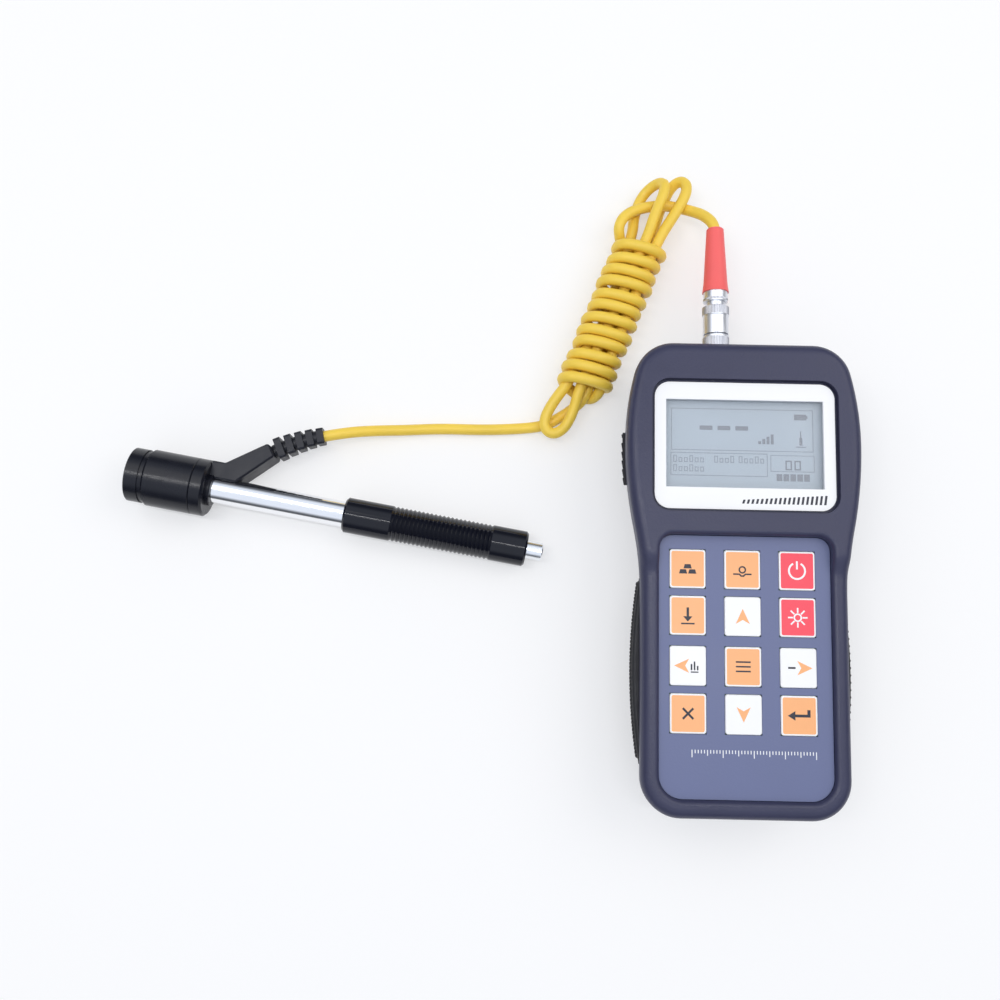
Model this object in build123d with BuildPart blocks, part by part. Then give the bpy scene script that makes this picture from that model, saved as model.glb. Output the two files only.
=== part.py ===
# Portable rebound hardness tester: a hand-held meter, its probe lead tied in a hank,
# and the impact device that the lead plugs into.
# Millimetres. The origin is the centre of the meter's back face, +X to the right of the
# display, +Y towards the probe socket, +Z out of the display.
import os
from math import asin, atan, cos, degrees, pi, radians, sin, tan

from build123d import *

os.makedirs("parts", exist_ok=True)

# Housing outline, seen from the front, round the keypad and the display window
foot_margin = 6.25
middle_margin = 8.65
head_margin = 13.8
grip_side_margin = 5.85
head_side_margin = 9.15
brow_length = 34.0
flare_length = 50.0
flare_share = 0.43
brow_radius = 97.0
foot_corner = 13.0
head_corner = 13.0

# Housing heights and walls
parting_height = 16.0
component_room = 2.95
post_length = 3.4
shoulder_height = 5.5
head_step = 2.0
step_setback = 13.45
step_length = 8.5
wall = 2.2
side_draft = 8.5
back_edge_radius = 4.0
rail_outer_radius = 3.6
recess_edge_radius = 1.5

# Display
view_width = 52.3
view_length = 29.6
window_side_border = 3.8
window_head_border = 5.8
window_foot_border = 7.2
window_corner = 5.0
window_groove = 1.0
bezel_thickness = 1.2
bezel_drop = 1.4
display_ledge = 1.1
lens_margin = 2.4
lens_thickness = 1.0
lcd_thickness = 2.0
lcd_margin = 3.6
frame_wall = 1.0

# Keypad
key_width = 11.8
key_length = 12.7
key_corner = 0.9
key_proud = 0.35
key_travel = 0.3
key_gap = 0.15
key_space_x = 6.15
key_space_y = 2.55
key_group_gap = 1.0
key_side_space = 4.3
key_head_space = 4.675
key_foot_space = 20.575
key_block_x = -0.8
keypad_top_corner = 4.5
keypad_foot_corner = 7.5
overlay_drop = 2.0
overlay_thickness = 1.2
circuit_thickness = 0.6
dome_radius = 3.2
dome_thickness = 0.3
dome_sides = 12
dome_draft = 45
key_edge = 0.2

# Grips, and the pads beside the display
grip_foot_margin = 16.0
grip_flare_reach = 5.0
grip_low_z = 7.0
grip_high_drop = 1.5
grip_proud = 2.4
grip_round = 1.2
grip_depth = 6.0
pad_length = 18.0
pad_setback = 5.0
pad_proud = 0.7

# Battery bay, boards and screws
cell_radius = 7.2
cell_length = 49.5
cell_button_radius = 2.7
cell_button_length = 1.0
cell_gap = 0.4
contact_room = 2.4
contact_thickness = 0.5
bay_foot_margin = 14.5
cover_thickness = 2.0
cover_recess = 0.25
cover_side_margin = 2.7
cover_gap = 0.15
cover_tongue = 1.4
board_thickness = 1.6
board_gap = 0.8
screw_head_radius = 2.6
screw_head_height = 1.8
screw_radius = 1.25
boss_radius = 3.4
screw_foot_side_margin = 9.5
screw_head_side_margin = 14.6
screw_foot_margin = 12.0
screw_head_margin = 11.5
screw_seat_z = 3.4
screw_cover = 2.5
screw_slot = 0.7
post_side_margin = 14.0
post_foot_margin = 26.0
post_head_margin = 4.95
post_radius = 2.4
processor_setback = 6.0
processor_size = 14.0
converter_setback = 12.9
converter_size = 8.0
buzzer_radius = 4.0
component_height = 1.0
contact_width = 9.0
contact_nub_radius = 2.0
thumb_ribs = 5
thumb_rib_pitch = 2.4
thumb_rib_length = 18.0
thumb_rib_depth = 0.5

# Probe socket and plug, on one axis along +Y
socket_x = -5.9
socket_radius = 3.9
socket_depth = 12.0
socket_floor = 4.0
nut_radius = 4.55
nut_proud = 7.2
plug_radius = 3.3
locking_radius = 4.45
locking_band_radius = 4.6
locking_gap = 0.3
locking_barrel_length = 6.8
locking_band_length = 3.3
locking_travel = 1.5
collet_radius = 4.25
collet_length = 3.6
boot_length = 23.7
boot_base_radius = 4.65
boot_waist_radius = 4.2
boot_tip_radius = 3.05
boot_flare = 3.5
boot_bore_depth = 12.9
fit_gap = 0.05
nut_lip = 0.3
flange_radius = 4.95
flange_thickness = 1.4
plug_bore_radius = 2.4
pin_length = 6.0
pin_count = 4
contact_pin_radius = 0.45
boot_lip = 0.4

# Lead
cord_diameter = 4.0
hank_width = 20.0
hank_height = 15.6
hank_round = 5.5
loop_height = 10.0

# Impact device, along its own axis from the face of the support ring
probe_nose_x = -210.6
probe_nose_y = 32.4
probe_turn = -9.5
head_radius = 10.0
lip_radius = 9.5
lip_length = 4.7
ring_groove = 1.5
ring_groove_radius = 9.1
ring_bore_radius = 6.5
spigot_radius = 8.0
spigot_length = 2.8
coil_housing_length = 16.7
cap_length = 4.6
collar_length = 1.5
collar_radius = 6.0
head_chamfer = 0.7
seam_chamfer = 0.25
tube_length = 84.0
tube_nose = 1.0
tube_radius = 4.6
tube_bore_radius = 3.6
bush_length = 4.0
sleeve_length = 65.2
sleeve_overlap = 16.0
sleeve_radius = 6.25
sleeve_bore_radius = 5.15
sleeve_bearing_length = 9.0
sleeve_travel = 34.0
rib_setback = 17.4
rib_count = 23
rib_pitch = 1.5
rib_depth = 0.5
button_proud = 5.8
button_radius = 2.4
button_flange_radius = 3.15
button_flange_length = 1.5
button_travel = 2.5
cap_plug_length = 8.2
cap_web = 2.0
running_gap = 0.05
body_length = 21.5
stem_neck = 2.5
stem_length = 4.0
stem_radius = 1.0
stem_head_radius = 1.8
ball_radius = 1.5
ball_setback = 0.5
chuck_engagement = 2.0
chuck_length = 12.0
chuck_bore_radius = 2.2
chuck_bore_depth = 8.0
rod_radius = 1.6
rod_bore_radius = 0.9
rod_flange_length = 1.2
pin_radius = 0.7
pin_clearance = 0.5
coil_radius = 7.6
bobbin_wall = 1.0
chuck_slot = 0.8
button_edge = 0.4
wire_sides = 4
body_nose_length = 3.5
loading_coil_radius = 4.15
loading_wire_radius = 0.4
loading_turns = 7
impact_coil_radius = 2.6
impact_wire_radius = 0.3
impact_turns = 5
button_coil_radius = 1.9
button_wire_radius = 0.25
button_turns = 3

# Side connector of the impact device, in plan along and across its axis
arm_low_z = 3.2
arm_height = 10.8
arm_inner = 3.6
arm_outer = 9.7
arm_bend = 4.5
arm_turn = 36.0
arm_length = 16.5
arm_width = 5.2
arm_heel = 9.5
arm_edge = 0.6
arm_corner = 1.2
relief_ribs = 5
relief_pitch = 3.7
relief_rib_length = 2.4
relief_start_size = 7.6
relief_end_size = 5.8
relief_core_radius = 2.5
relief_turn = 15.0
relief_corner = 1.0

# Values that follow from the sizes above
beyond = 1.0
key_pitch_x = key_width + key_space_x
key_pitch_y = key_length + key_space_y
keypad_width = 2 * key_pitch_x + key_width + 2 * key_side_space
keypad_length = key_head_space + 3 * key_pitch_y + key_group_gap + key_length + key_foot_space
window_width = view_width + 2 * window_side_border
window_length = window_foot_border + view_length + window_head_border
housing_length = foot_margin + keypad_length + middle_margin + window_length + head_margin
half_length = housing_length / 2
grip_half_width = keypad_width / 2 + grip_side_margin
head_half_width = window_width / 2 + head_side_margin
head_widest_y = half_length - brow_length
flare_start_y = head_widest_y - flare_length
keypad_y = -half_length + foot_margin + keypad_length / 2
keypad_top_y = keypad_y + keypad_length / 2
key_head_y = keypad_top_y - key_head_space - key_length / 2
window_y = half_length - head_margin - window_length / 2
view_y = window_y + (window_foot_border - window_head_border) / 2
step_foot_y = keypad_top_y - step_setback
step_top_y = step_foot_y + step_length
bay_top_z = cover_thickness + cover_gap + 2 * cell_radius + cell_gap
board_height = bay_top_z + wall / 2 + component_room
board_top = board_height + board_thickness
keypad_ceiling = board_top + post_length
keypad_floor = keypad_ceiling + wall
overlay_floor = keypad_floor + circuit_thickness
overlay_top = overlay_floor + overlay_thickness
rail_height = overlay_top + overlay_drop
belt_height = rail_height - shoulder_height
head_height = rail_height + head_step
bezel_top = head_height - bezel_drop
bezel_floor = bezel_top - bezel_thickness
head_ceiling = bezel_floor - display_ledge
draft_slope = tan(radians(side_draft))
parting_inset = draft_slope * (belt_height - parting_height)
cavity_inset = wall + parting_inset
display_bay_foot = keypad_top_y + wall
grip_foot_y = -half_length + grip_foot_margin
grip_top_y = flare_start_y + grip_flare_reach
grip_high_z = belt_height - grip_high_drop
pad_middle_y = head_widest_y - pad_setback
nut_start_y = half_length - draft_slope * (belt_height - parting_height - nut_radius)
flange_y = half_length - cavity_inset - draft_slope * flange_radius - fit_gap
bay_width = 4 * cell_radius + 2 * cell_gap
bay_foot_y = -half_length + bay_foot_margin
cover_top_y = bay_foot_y + 2 * contact_room + cell_length + cell_button_length + wall
cover_width = bay_width + 2 * cover_side_margin
cell_axis_z = cover_recess + cover_thickness + cover_gap + cell_radius
cell_middle_y = (cover_top_y - wall + bay_foot_y) / 2
channel_width = cover_width + 2 * cover_tongue + 2 * cover_gap
channel_reach = cover_top_y + half_length
tongue_low_z = cover_recess + cover_thickness / 2
screw_foot_x = grip_half_width - screw_foot_side_margin
screw_head_x = head_half_width - screw_head_side_margin
screw_low_y = -half_length + screw_foot_margin
screw_high_y = half_length - screw_head_margin
screw_end = keypad_ceiling - screw_cover
post_x = grip_half_width - post_side_margin
post_low_y = -half_length + post_foot_margin
post_high_y = keypad_top_y - post_head_margin
processor_y = cover_top_y + processor_setback
converter_y = window_y - converter_setback
lcd_width = view_width + 2 * lcd_margin
lcd_length = view_length + 2 * lcd_margin
lcd_glass_z = head_ceiling - frame_wall - lcd_thickness
housing_start = lip_length + ring_groove
body_radius = tube_bore_radius - running_gap
body_start = ball_setback
body_shoulder = ball_setback + ball_radius + body_nose_length
stem_head_start = body_start + body_length + stem_neck
stem_tip = body_start + body_length + stem_length
key_thickness = overlay_thickness + key_proud - dome_thickness - key_travel - fit_gap
nut_end_y = half_length + nut_proud
socket_start_y = half_length - socket_depth
plug_start_y = socket_start_y + socket_floor
pin_plate_y = plug_start_y + pin_length
locking_start_y = nut_end_y + locking_gap
locking_band_y = locking_start_y + locking_barrel_length
locking_end_y = locking_band_y + locking_band_length
collet_start_y = locking_end_y + locking_travel + locking_gap
collet_end_y = collet_start_y + collet_length
boot_end_y = collet_end_y + boot_length
boot_bore_start_y = boot_end_y - boot_bore_depth
spigot_end = housing_start + spigot_length
cap_start = housing_start + coil_housing_length
head_end = cap_start + cap_length
collar_end = head_end + collar_length
tube_start = spigot_end - tube_nose
tube_end = tube_start + tube_length
sleeve_start = tube_end - sleeve_overlap
sleeve_end = sleeve_start + sleeve_length
rib_start = sleeve_start + rib_setback
button_end = sleeve_end + button_proud
cap_plug_start = sleeve_end - cap_plug_length
cap_ledge = sleeve_end - cap_web
chuck_start = stem_tip - chuck_engagement + sleeve_travel
pin_start = chuck_start + chuck_bore_depth + button_travel + pin_clearance
probe_lean = atan((head_radius - sleeve_radius) / (sleeve_length + sleeve_start - head_end))
probe_lift = head_radius * cos(probe_lean) + (head_end - head_chamfer) * sin(probe_lean)
probe_nose = Vector(probe_nose_x, probe_nose_y, probe_lift)
probe_dir = Vector(1, 0, 0).rotate(Axis.Y, degrees(probe_lean)).rotate(Axis.Z, probe_turn)
probe_up = Vector(0, 0, 1).rotate(Axis.Y, degrees(probe_lean)).rotate(Axis.Z, probe_turn)
probe_side = Plane(origin=probe_nose, x_dir=probe_dir, z_dir=probe_dir.cross(probe_up))
probe_axis = Axis(probe_nose, probe_dir)
socket_plane = Plane(origin=(socket_x, socket_start_y, parting_height), x_dir=(1, 0, 0), z_dir=(0, 1, 0))


def housing_outline(inset):
    """Plan outline of the housing: straight grip, flared head, round corners."""
    rise = head_widest_y - flare_start_y
    spread = head_half_width - grip_half_width
    turn = 2 * atan(spread / rise)
    both_radii = rise / sin(turn)
    flare_radius = flare_share * both_radii
    brow_turn = degrees(asin((half_length - head_widest_y) / brow_radius))
    with BuildSketch() as outline:
        with BuildLine():
            foot = Line((0, -half_length), (grip_half_width, -half_length))
            grip = Line(foot @ 1, (grip_half_width, flare_start_y))
            flare = JernArc(grip @ 1, (0, 1), flare_radius, -degrees(turn))
            shoulder = JernArc(flare @ 1, flare % 1, both_radii - flare_radius, degrees(turn))
            brow = JernArc(shoulder @ 1, (0, 1), brow_radius, brow_turn)
            Line(brow @ 1, (0, half_length))
            mirror(about=Plane.YZ)
        make_face()
        fillet(outline.vertices().group_by(Axis.Y)[0], foot_corner)
        fillet(outline.vertices().group_by(Axis.Y)[-1], head_corner)
        if inset:
            offset(amount=-inset, mode=Mode.REPLACE)
    return outline.sketch


def keypad_outline(gap):
    """Plan outline of the keypad, tighter at its top corners than at its foot."""
    with BuildSketch(Location((0, keypad_y))) as outline:
        Rectangle(keypad_width + 2 * gap, keypad_length + 2 * gap)
        fillet(outline.vertices().group_by(Axis.Y)[-1], keypad_top_corner + gap)
        fillet(outline.vertices().group_by(Axis.Y)[0], keypad_foot_corner + gap)
    return outline.sketch


def head_rise(low):
    """Side profile of the step from the keypad rail up to the display head."""
    with BuildSketch(Plane.YZ) as profile:
        with BuildLine():
            rail = Line((-half_length - beyond, rail_height), (step_foot_y, rail_height))
            step = Spline(rail @ 1, (step_top_y, head_height), tangents=[(1, 0), (1, 0)])
            head = Line(step @ 1, (half_length + beyond, head_height))
            Polyline(head @ 1, (half_length + beyond, low), (-half_length - beyond, low), rail @ 0)
        make_face()
    return profile.sketch


# Solid envelope of the whole housing, from which both shells are cut
with BuildPart() as envelope:
    with BuildSketch(Plane.XY.offset(belt_height)):
        add(housing_outline(0))
    extrude(amount=head_height + beyond - belt_height)
    with BuildSketch(Plane.XY.offset(belt_height)):
        add(housing_outline(0))
    with BuildSketch():
        add(housing_outline(belt_height * draft_slope))
    loft(ruled=True)
    extrude(head_rise(-beyond), amount=head_half_width + beyond, both=True, mode=Mode.INTERSECT)
    fillet(envelope.edges().group_by(Axis.Z)[0], back_edge_radius)
    fillet(envelope.edges().filter_by(lambda e: e.center().Z > rail_height - 0.01), rail_outer_radius)

key_rows = [key_head_y - key_pitch_y * row - key_group_gap * (row // 2) for row in range(4)]
key_places = [(key_block_x + key_pitch_x * column, y) for y in key_rows for column in (-1, 0, 1)]
post_places = [(x, y) for x in (-post_x, post_x) for y in (post_low_y, post_high_y)]
foot_screws = [(-screw_foot_x, screw_low_y), (screw_foot_x, screw_low_y)]
head_screws = [(-screw_head_x, screw_high_y), (screw_head_x, screw_high_y)]
screw_places = foot_screws + head_screws

# Upper moulding: keypad recess, display opening, half of the socket hole, bosses inside
with BuildPart() as front_shell:
    add(envelope.part)
    split(bisect_by=Plane.XY.offset(parting_height), keep=Keep.TOP)
    with BuildSketch(Plane.XY.offset(keypad_floor)):
        add(keypad_outline(key_gap))
    extrude(amount=head_height, mode=Mode.SUBTRACT)
    recess_rim = front_shell.edges().filter_by(
        lambda e: abs(e.center().X) < keypad_width / 2 + beyond
        and abs(e.center().Y - keypad_y) < keypad_length / 2 + beyond
        and e.center().Z > rail_height - 0.01
        and e.bounding_box().size.X < keypad_width + beyond
    )
    fillet(recess_rim, recess_edge_radius)
    with BuildSketch(Plane.XY.offset(bezel_floor)):
        with Locations((0, window_y)):
            RectangleRounded(
                window_width + 2 * window_groove,
                window_length + 2 * window_groove,
                window_corner + window_groove,
            )
    extrude(amount=head_height, mode=Mode.SUBTRACT)
    with BuildSketch(Plane.XY.offset(parting_height)):
        add(housing_outline(cavity_inset))
    extrude(amount=keypad_ceiling - parting_height, mode=Mode.SUBTRACT)
    with BuildSketch(Plane.XY.offset(parting_height)):
        add(housing_outline(cavity_inset))
        with Locations((0, display_bay_foot)):
            Rectangle(housing_length, housing_length, align=(Align.CENTER, Align.MIN), mode=Mode.INTERSECT)
    extrude(amount=head_ceiling - parting_height, mode=Mode.SUBTRACT)
    with BuildSketch(Plane.XY.offset(parting_height)):
        with Locations((0, view_y)):
            Rectangle(view_width + 2 * lens_margin, view_length + 2 * lens_margin)
            offset(amount=key_gap, kind=Kind.INTERSECTION)
    extrude(amount=head_height, mode=Mode.SUBTRACT)
    with BuildSketch(Plane.XY.offset(parting_height)):
        with Locations(*screw_places):
            Circle(boss_radius)
    extrude(amount=keypad_ceiling + wall / 2 - parting_height)
    with BuildSketch(Plane.XY.offset(parting_height)):
        with Locations(*head_screws):
            Circle(boss_radius)
    extrude(amount=head_ceiling + wall / 2 - parting_height)
    with BuildSketch(Plane.XY.offset(board_top)):
        with Locations(*post_places):
            Circle(post_radius)
    extrude(amount=keypad_ceiling + wall / 2 - board_top)
    with BuildSketch(Plane.XY.offset(parting_height)):
        with Locations(*screw_places):
            Circle(screw_radius + fit_gap)
    extrude(amount=screw_end - parting_height + beyond, mode=Mode.SUBTRACT)
    with BuildSketch(socket_plane):
        Circle(socket_radius + fit_gap)
    extrude(amount=housing_length, mode=Mode.SUBTRACT)
front_shell.part.label = "front_shell"
export_step(front_shell.part, "parts/front_shell.step")

# Lower moulding: tapered tray with the battery bay, cover channel and screw bosses
with BuildPart() as back_shell:
    add(envelope.part)
    split(bisect_by=Plane.XY.offset(parting_height), keep=Keep.BOTTOM)
    with BuildSketch(Plane.XY.offset(parting_height)):
        add(housing_outline(cavity_inset))
    with BuildSketch(Plane.XY.offset(wall)):
        add(housing_outline(cavity_inset + (parting_height - wall) * draft_slope))
    loft(ruled=True, mode=Mode.SUBTRACT)
    with BuildSketch(Plane.XY.offset(cover_recess + wall / 2)):
        with Locations((0, cover_top_y + wall)):
            Rectangle(channel_width + 2 * wall, channel_reach, align=(Align.CENTER, Align.MAX))
    extrude(amount=cover_thickness + wall / 2)
    with BuildSketch(Plane.XY.offset(wall)):
        with Locations((0, cover_top_y)):
            Rectangle(bay_width + 2 * wall, cover_top_y - bay_foot_y + wall, align=(Align.CENTER, Align.MAX))
        with Locations(*screw_places):
            Circle(boss_radius)
    extrude(amount=parting_height - wall)
    with BuildSketch(Plane.XY.offset(parting_height)):
        with Locations((0, cover_top_y)):
            Rectangle(bay_width + 2 * wall, cover_top_y - bay_foot_y + wall, align=(Align.CENTER, Align.MAX))
    extrude(amount=bay_top_z + wall / 2 - parting_height)
    add(envelope.part, mode=Mode.INTERSECT)
    with BuildSketch(Plane.XY.offset(-beyond)):
        with Locations((0, cover_top_y)):
            Rectangle(cover_width + 2 * cover_gap, housing_length, align=(Align.CENTER, Align.MAX))
    extrude(amount=beyond + cover_recess + cover_thickness, mode=Mode.SUBTRACT)
    with BuildSketch(Plane.XY.offset(tongue_low_z - cover_gap)):
        with Locations((0, cover_top_y)):
            Rectangle(channel_width, housing_length, align=(Align.CENTER, Align.MAX))
    extrude(amount=cover_recess + cover_thickness - tongue_low_z + cover_gap, mode=Mode.SUBTRACT)
    with BuildSketch(Plane.XY.offset(cover_thickness)):
        with Locations((0, cover_top_y - wall)):
            Rectangle(bay_width, cover_top_y - wall - bay_foot_y, align=(Align.CENTER, Align.MAX))
    extrude(amount=bay_top_z - cover_thickness, mode=Mode.SUBTRACT)
    with BuildSketch(Plane.XY.offset(-beyond)):
        with Locations(*screw_places):
            Circle(screw_radius + 2 * fit_gap)
    extrude(amount=parting_height + beyond, mode=Mode.SUBTRACT)
    with BuildSketch(Plane.XY.offset(-beyond)):
        with Locations(*screw_places):
            Circle(screw_head_radius + 2 * fit_gap)
    extrude(amount=beyond + screw_seat_z, mode=Mode.SUBTRACT)
    with BuildSketch(socket_plane):
        Circle(socket_radius + fit_gap)
    extrude(amount=housing_length, mode=Mode.SUBTRACT)
back_shell.part.label = "back_shell"
export_step(back_shell.part, "parts/back_shell.step")

# Sliding battery cover with a tongue along each side
with BuildPart() as battery_cover:
    with BuildSketch(Plane.XY.offset(cover_recess)):
        with Locations((0, cover_top_y - cover_gap)):
            Rectangle(cover_width, housing_length, align=(Align.CENTER, Align.MAX))
    extrude(amount=cover_thickness)
    add(envelope.part, mode=Mode.INTERSECT)
    with BuildSketch(Plane.XY.offset(tongue_low_z)):
        with Locations((0, (cover_top_y + bay_foot_y) / 2)):
            Rectangle(cover_width + 2 * cover_tongue, cover_top_y - bay_foot_y - 2 * wall)
    extrude(amount=cover_recess + cover_thickness - tongue_low_z - cover_gap)
    with BuildSketch(Plane.XY.offset(cover_recess)):
        with GridLocations(1, thumb_rib_pitch, 1, thumb_ribs):
            Rectangle(thumb_rib_length, thumb_rib_pitch / 2)
    extrude(amount=thumb_rib_depth, mode=Mode.SUBTRACT)
battery_cover.part.label = "battery_cover"
export_step(battery_cover.part, "parts/battery_cover.step")

# Rubber grip let into each side of the handle, a lens in plan
with BuildPart() as grip_right:
    with BuildSketch(Plane.XY.offset(grip_high_z)):
        with BuildLine():
            bulge = ThreePointArc(
                (grip_half_width, grip_foot_y),
                (grip_half_width + grip_proud, (grip_foot_y + grip_top_y) / 2),
                (grip_half_width, grip_top_y),
            )
            grip_root_x = grip_half_width - grip_depth
            Polyline(bulge @ 1, (grip_root_x, grip_top_y), (grip_root_x, grip_foot_y), bulge @ 0)
        make_face()
    extrude(amount=grip_low_z - grip_high_z, taper=side_draft)
    fillet(grip_right.edges().filter_by(GeomType.CIRCLE), grip_round)
    add(envelope.part, mode=Mode.SUBTRACT)
with BuildPart() as grip_left:
    mirror(grip_right.part, about=Plane.YZ)
grip_right.part.label = "grip_right"
export_step(grip_right.part, "parts/grip_right.step")
grip_left.part.label = "grip_left"
export_step(grip_left.part, "parts/grip_left.step")

# Thin dotted pads beside the display
with BuildPart() as head_pads:
    with BuildSketch(Plane.XY.offset(grip_high_z)):
        add(housing_outline(-pad_proud))
        with Locations((0, pad_middle_y)):
            Rectangle(housing_length, pad_length, mode=Mode.INTERSECT)
    extrude(amount=grip_low_z - grip_high_z, taper=side_draft)
    add(envelope.part, mode=Mode.SUBTRACT)
head_pads.part.label = "head_pads"
export_step(head_pads.part, "parts/head_pads.step")

# Printed window frame and clear lens
with BuildPart() as display_bezel:
    with BuildSketch(Plane.XY.offset(bezel_floor)):
        with Locations((0, window_y)):
            RectangleRounded(window_width, window_length, window_corner)
        with Locations((0, view_y)):
            Rectangle(view_width, view_length, mode=Mode.SUBTRACT)
    extrude(amount=bezel_thickness)
display_bezel.part.label = "display_bezel"
export_step(display_bezel.part, "parts/display_bezel.step")

with BuildPart() as display_lens:
    with BuildSketch(Plane.XY.offset(bezel_floor - lens_thickness)):
        with Locations((0, view_y)):
            Rectangle(view_width + 2 * lens_margin, view_length + 2 * lens_margin)
    extrude(amount=lens_thickness)
display_lens.part.label = "display_lens"
export_step(display_lens.part, "parts/display_lens.step")

# Display module: sheet frame, glass and light guide, standing on the board
with BuildPart() as lcd_frame:
    with BuildSketch(Plane.XY.offset(board_top)):
        with Locations((0, view_y)):
            RectangleRounded(lcd_width + 2 * frame_wall, lcd_length + 2 * frame_wall, frame_wall)
    extrude(amount=head_ceiling - board_top)
    with BuildSketch(Plane.XY.offset(board_top)):
        with Locations((0, view_y)):
            Rectangle(lcd_width, lcd_length)
    extrude(amount=head_ceiling - frame_wall - board_top, mode=Mode.SUBTRACT)
    with BuildSketch(Plane.XY.offset(board_top)):
        with Locations((0, view_y)):
            Rectangle(view_width + lens_margin, view_length + lens_margin)
    extrude(amount=head_height, mode=Mode.SUBTRACT)
lcd_frame.part.label = "lcd_frame"
export_step(lcd_frame.part, "parts/lcd_frame.step")

with BuildPart() as lcd_glass:
    with BuildSketch(Plane.XY.offset(lcd_glass_z)):
        with Locations((0, view_y)):
            Rectangle(lcd_width - 2 * key_gap, lcd_length - 2 * key_gap)
    extrude(amount=lcd_thickness)
lcd_glass.part.label = "lcd_glass"
export_step(lcd_glass.part, "parts/lcd_glass.step")

with BuildPart() as lcd_light_guide:
    with BuildSketch(Plane.XY.offset(board_top)):
        with Locations((0, view_y)):
            Rectangle(lcd_width - 2 * key_gap, lcd_length - 2 * key_gap)
    extrude(amount=lcd_glass_z - board_top)
    with BuildSketch(Plane.YZ):
        with Locations((view_y, (board_top + lcd_glass_z) / 2)):
            Rectangle(lcd_length / 2, lcd_thickness)
    extrude(amount=lcd_width, both=True, mode=Mode.SUBTRACT)
lcd_light_guide.part.label = "lcd_light_guide"
export_step(lcd_light_guide.part, "parts/lcd_light_guide.step")

# Keypad: printed circuit, snap domes, overlay and twelve keys
with BuildPart() as keypad_circuit:
    with BuildSketch(Plane.XY.offset(keypad_floor)):
        add(keypad_outline(0))
    extrude(amount=circuit_thickness)
keypad_circuit.part.label = "keypad_circuit"
export_step(keypad_circuit.part, "parts/keypad_circuit.step")

with BuildPart() as snap_domes:
    with BuildSketch(Plane.XY.offset(overlay_floor)):
        with Locations(*key_places):
            RegularPolygon(dome_radius, dome_sides)
    extrude(amount=dome_thickness, taper=dome_draft)
snap_domes.part.label = "snap_domes"
export_step(snap_domes.part, "parts/snap_domes.step")

with BuildPart() as keypad_overlay:
    with BuildSketch(Plane.XY.offset(overlay_floor)):
        add(keypad_outline(0))
        with Locations(*key_places):
            Rectangle(key_width + 2 * key_gap, key_length + 2 * key_gap, mode=Mode.SUBTRACT)
    extrude(amount=overlay_thickness)
keypad_overlay.part.label = "keypad_overlay"
export_step(keypad_overlay.part, "parts/keypad_overlay.step")

key_names = [
    "key_material", "key_hardness", "key_power",
    "key_direction", "key_up", "key_backlight",
    "key_average", "key_menu", "key_delete",
    "key_escape", "key_down", "key_enter",
]
for key_name, key_place in zip(key_names, key_places):
    with BuildPart() as key:
        with BuildSketch(Plane.XY.offset(overlay_top + key_proud - key_thickness)):
            with Locations(key_place):
                RectangleRounded(key_width, key_length, key_corner)
        extrude(amount=key_thickness)
        chamfer(key.faces().sort_by(Axis.Z)[-1].edges(), key_edge)
    key.part.label = key_name
    export_step(key.part, f"parts/{key_name}.step")

# Main board with its parts, on posts under the keypad
with BuildPart() as main_board:
    with BuildSketch(Plane.XY.offset(board_height)):
        add(housing_outline(cavity_inset + board_gap))
        with Locations(*screw_places):
            Circle(boss_radius + board_gap, mode=Mode.SUBTRACT)
        with Locations((socket_x, half_length)):
            Rectangle(2 * (flange_radius + board_gap), 2 * (socket_depth + board_gap), mode=Mode.SUBTRACT)
    extrude(amount=board_thickness)
main_board.part.label = "main_board"
export_step(main_board.part, "parts/main_board.step")

with BuildPart() as board_components:
    with BuildSketch(Plane.XY.offset(board_height)):
        with Locations((0, processor_y)):
            Rectangle(processor_size, processor_size)
        with Locations((-processor_size, converter_y), (processor_size, converter_y)):
            Rectangle(converter_size, converter_size)
    extrude(amount=-component_height)
    with BuildSketch(Plane.XY.offset(board_height)):
        with Locations((processor_size, processor_y)):
            Circle(buzzer_radius)
    extrude(amount=-2 * component_height)
board_components.part.label = "board_components"
export_step(board_components.part, "parts/board_components.step")

with BuildPart() as battery_cells:
    for side in (-1, 1):
        middle = Plane(
            origin=(
                side * (cell_radius + cell_gap / 2),
                cell_middle_y - side * cell_button_length / 2,
                cell_axis_z,
            ),
            x_dir=(1, 0, 0),
            z_dir=(0, side, 0),
        )
        with BuildSketch(middle):
            Circle(cell_radius)
        extrude(amount=cell_length / 2, both=True)
        with BuildSketch(middle.offset(cell_length / 2)):
            Circle(cell_button_radius)
        extrude(amount=cell_button_length)
battery_cells.part.label = "battery_cells"
export_step(battery_cells.part, "parts/battery_cells.step")

with BuildPart() as battery_contacts:
    for y, facing in ((bay_foot_y, 1), (cover_top_y - wall, -1)):
        plate = Plane(origin=(0, y, cell_axis_z), x_dir=(1, 0, 0), z_dir=(0, facing, 0))
        with BuildSketch(plate):
            with GridLocations(2 * cell_radius + cell_gap, 1, 2, 1):
                Rectangle(contact_width, contact_width)
        extrude(amount=contact_thickness)
        with BuildSketch(plate):
            with GridLocations(2 * cell_radius + cell_gap, 1, 2, 1):
                Circle(contact_nub_radius)
        extrude(amount=contact_room)
battery_contacts.part.label = "battery_contacts"
export_step(battery_contacts.part, "parts/battery_contacts.step")

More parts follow.
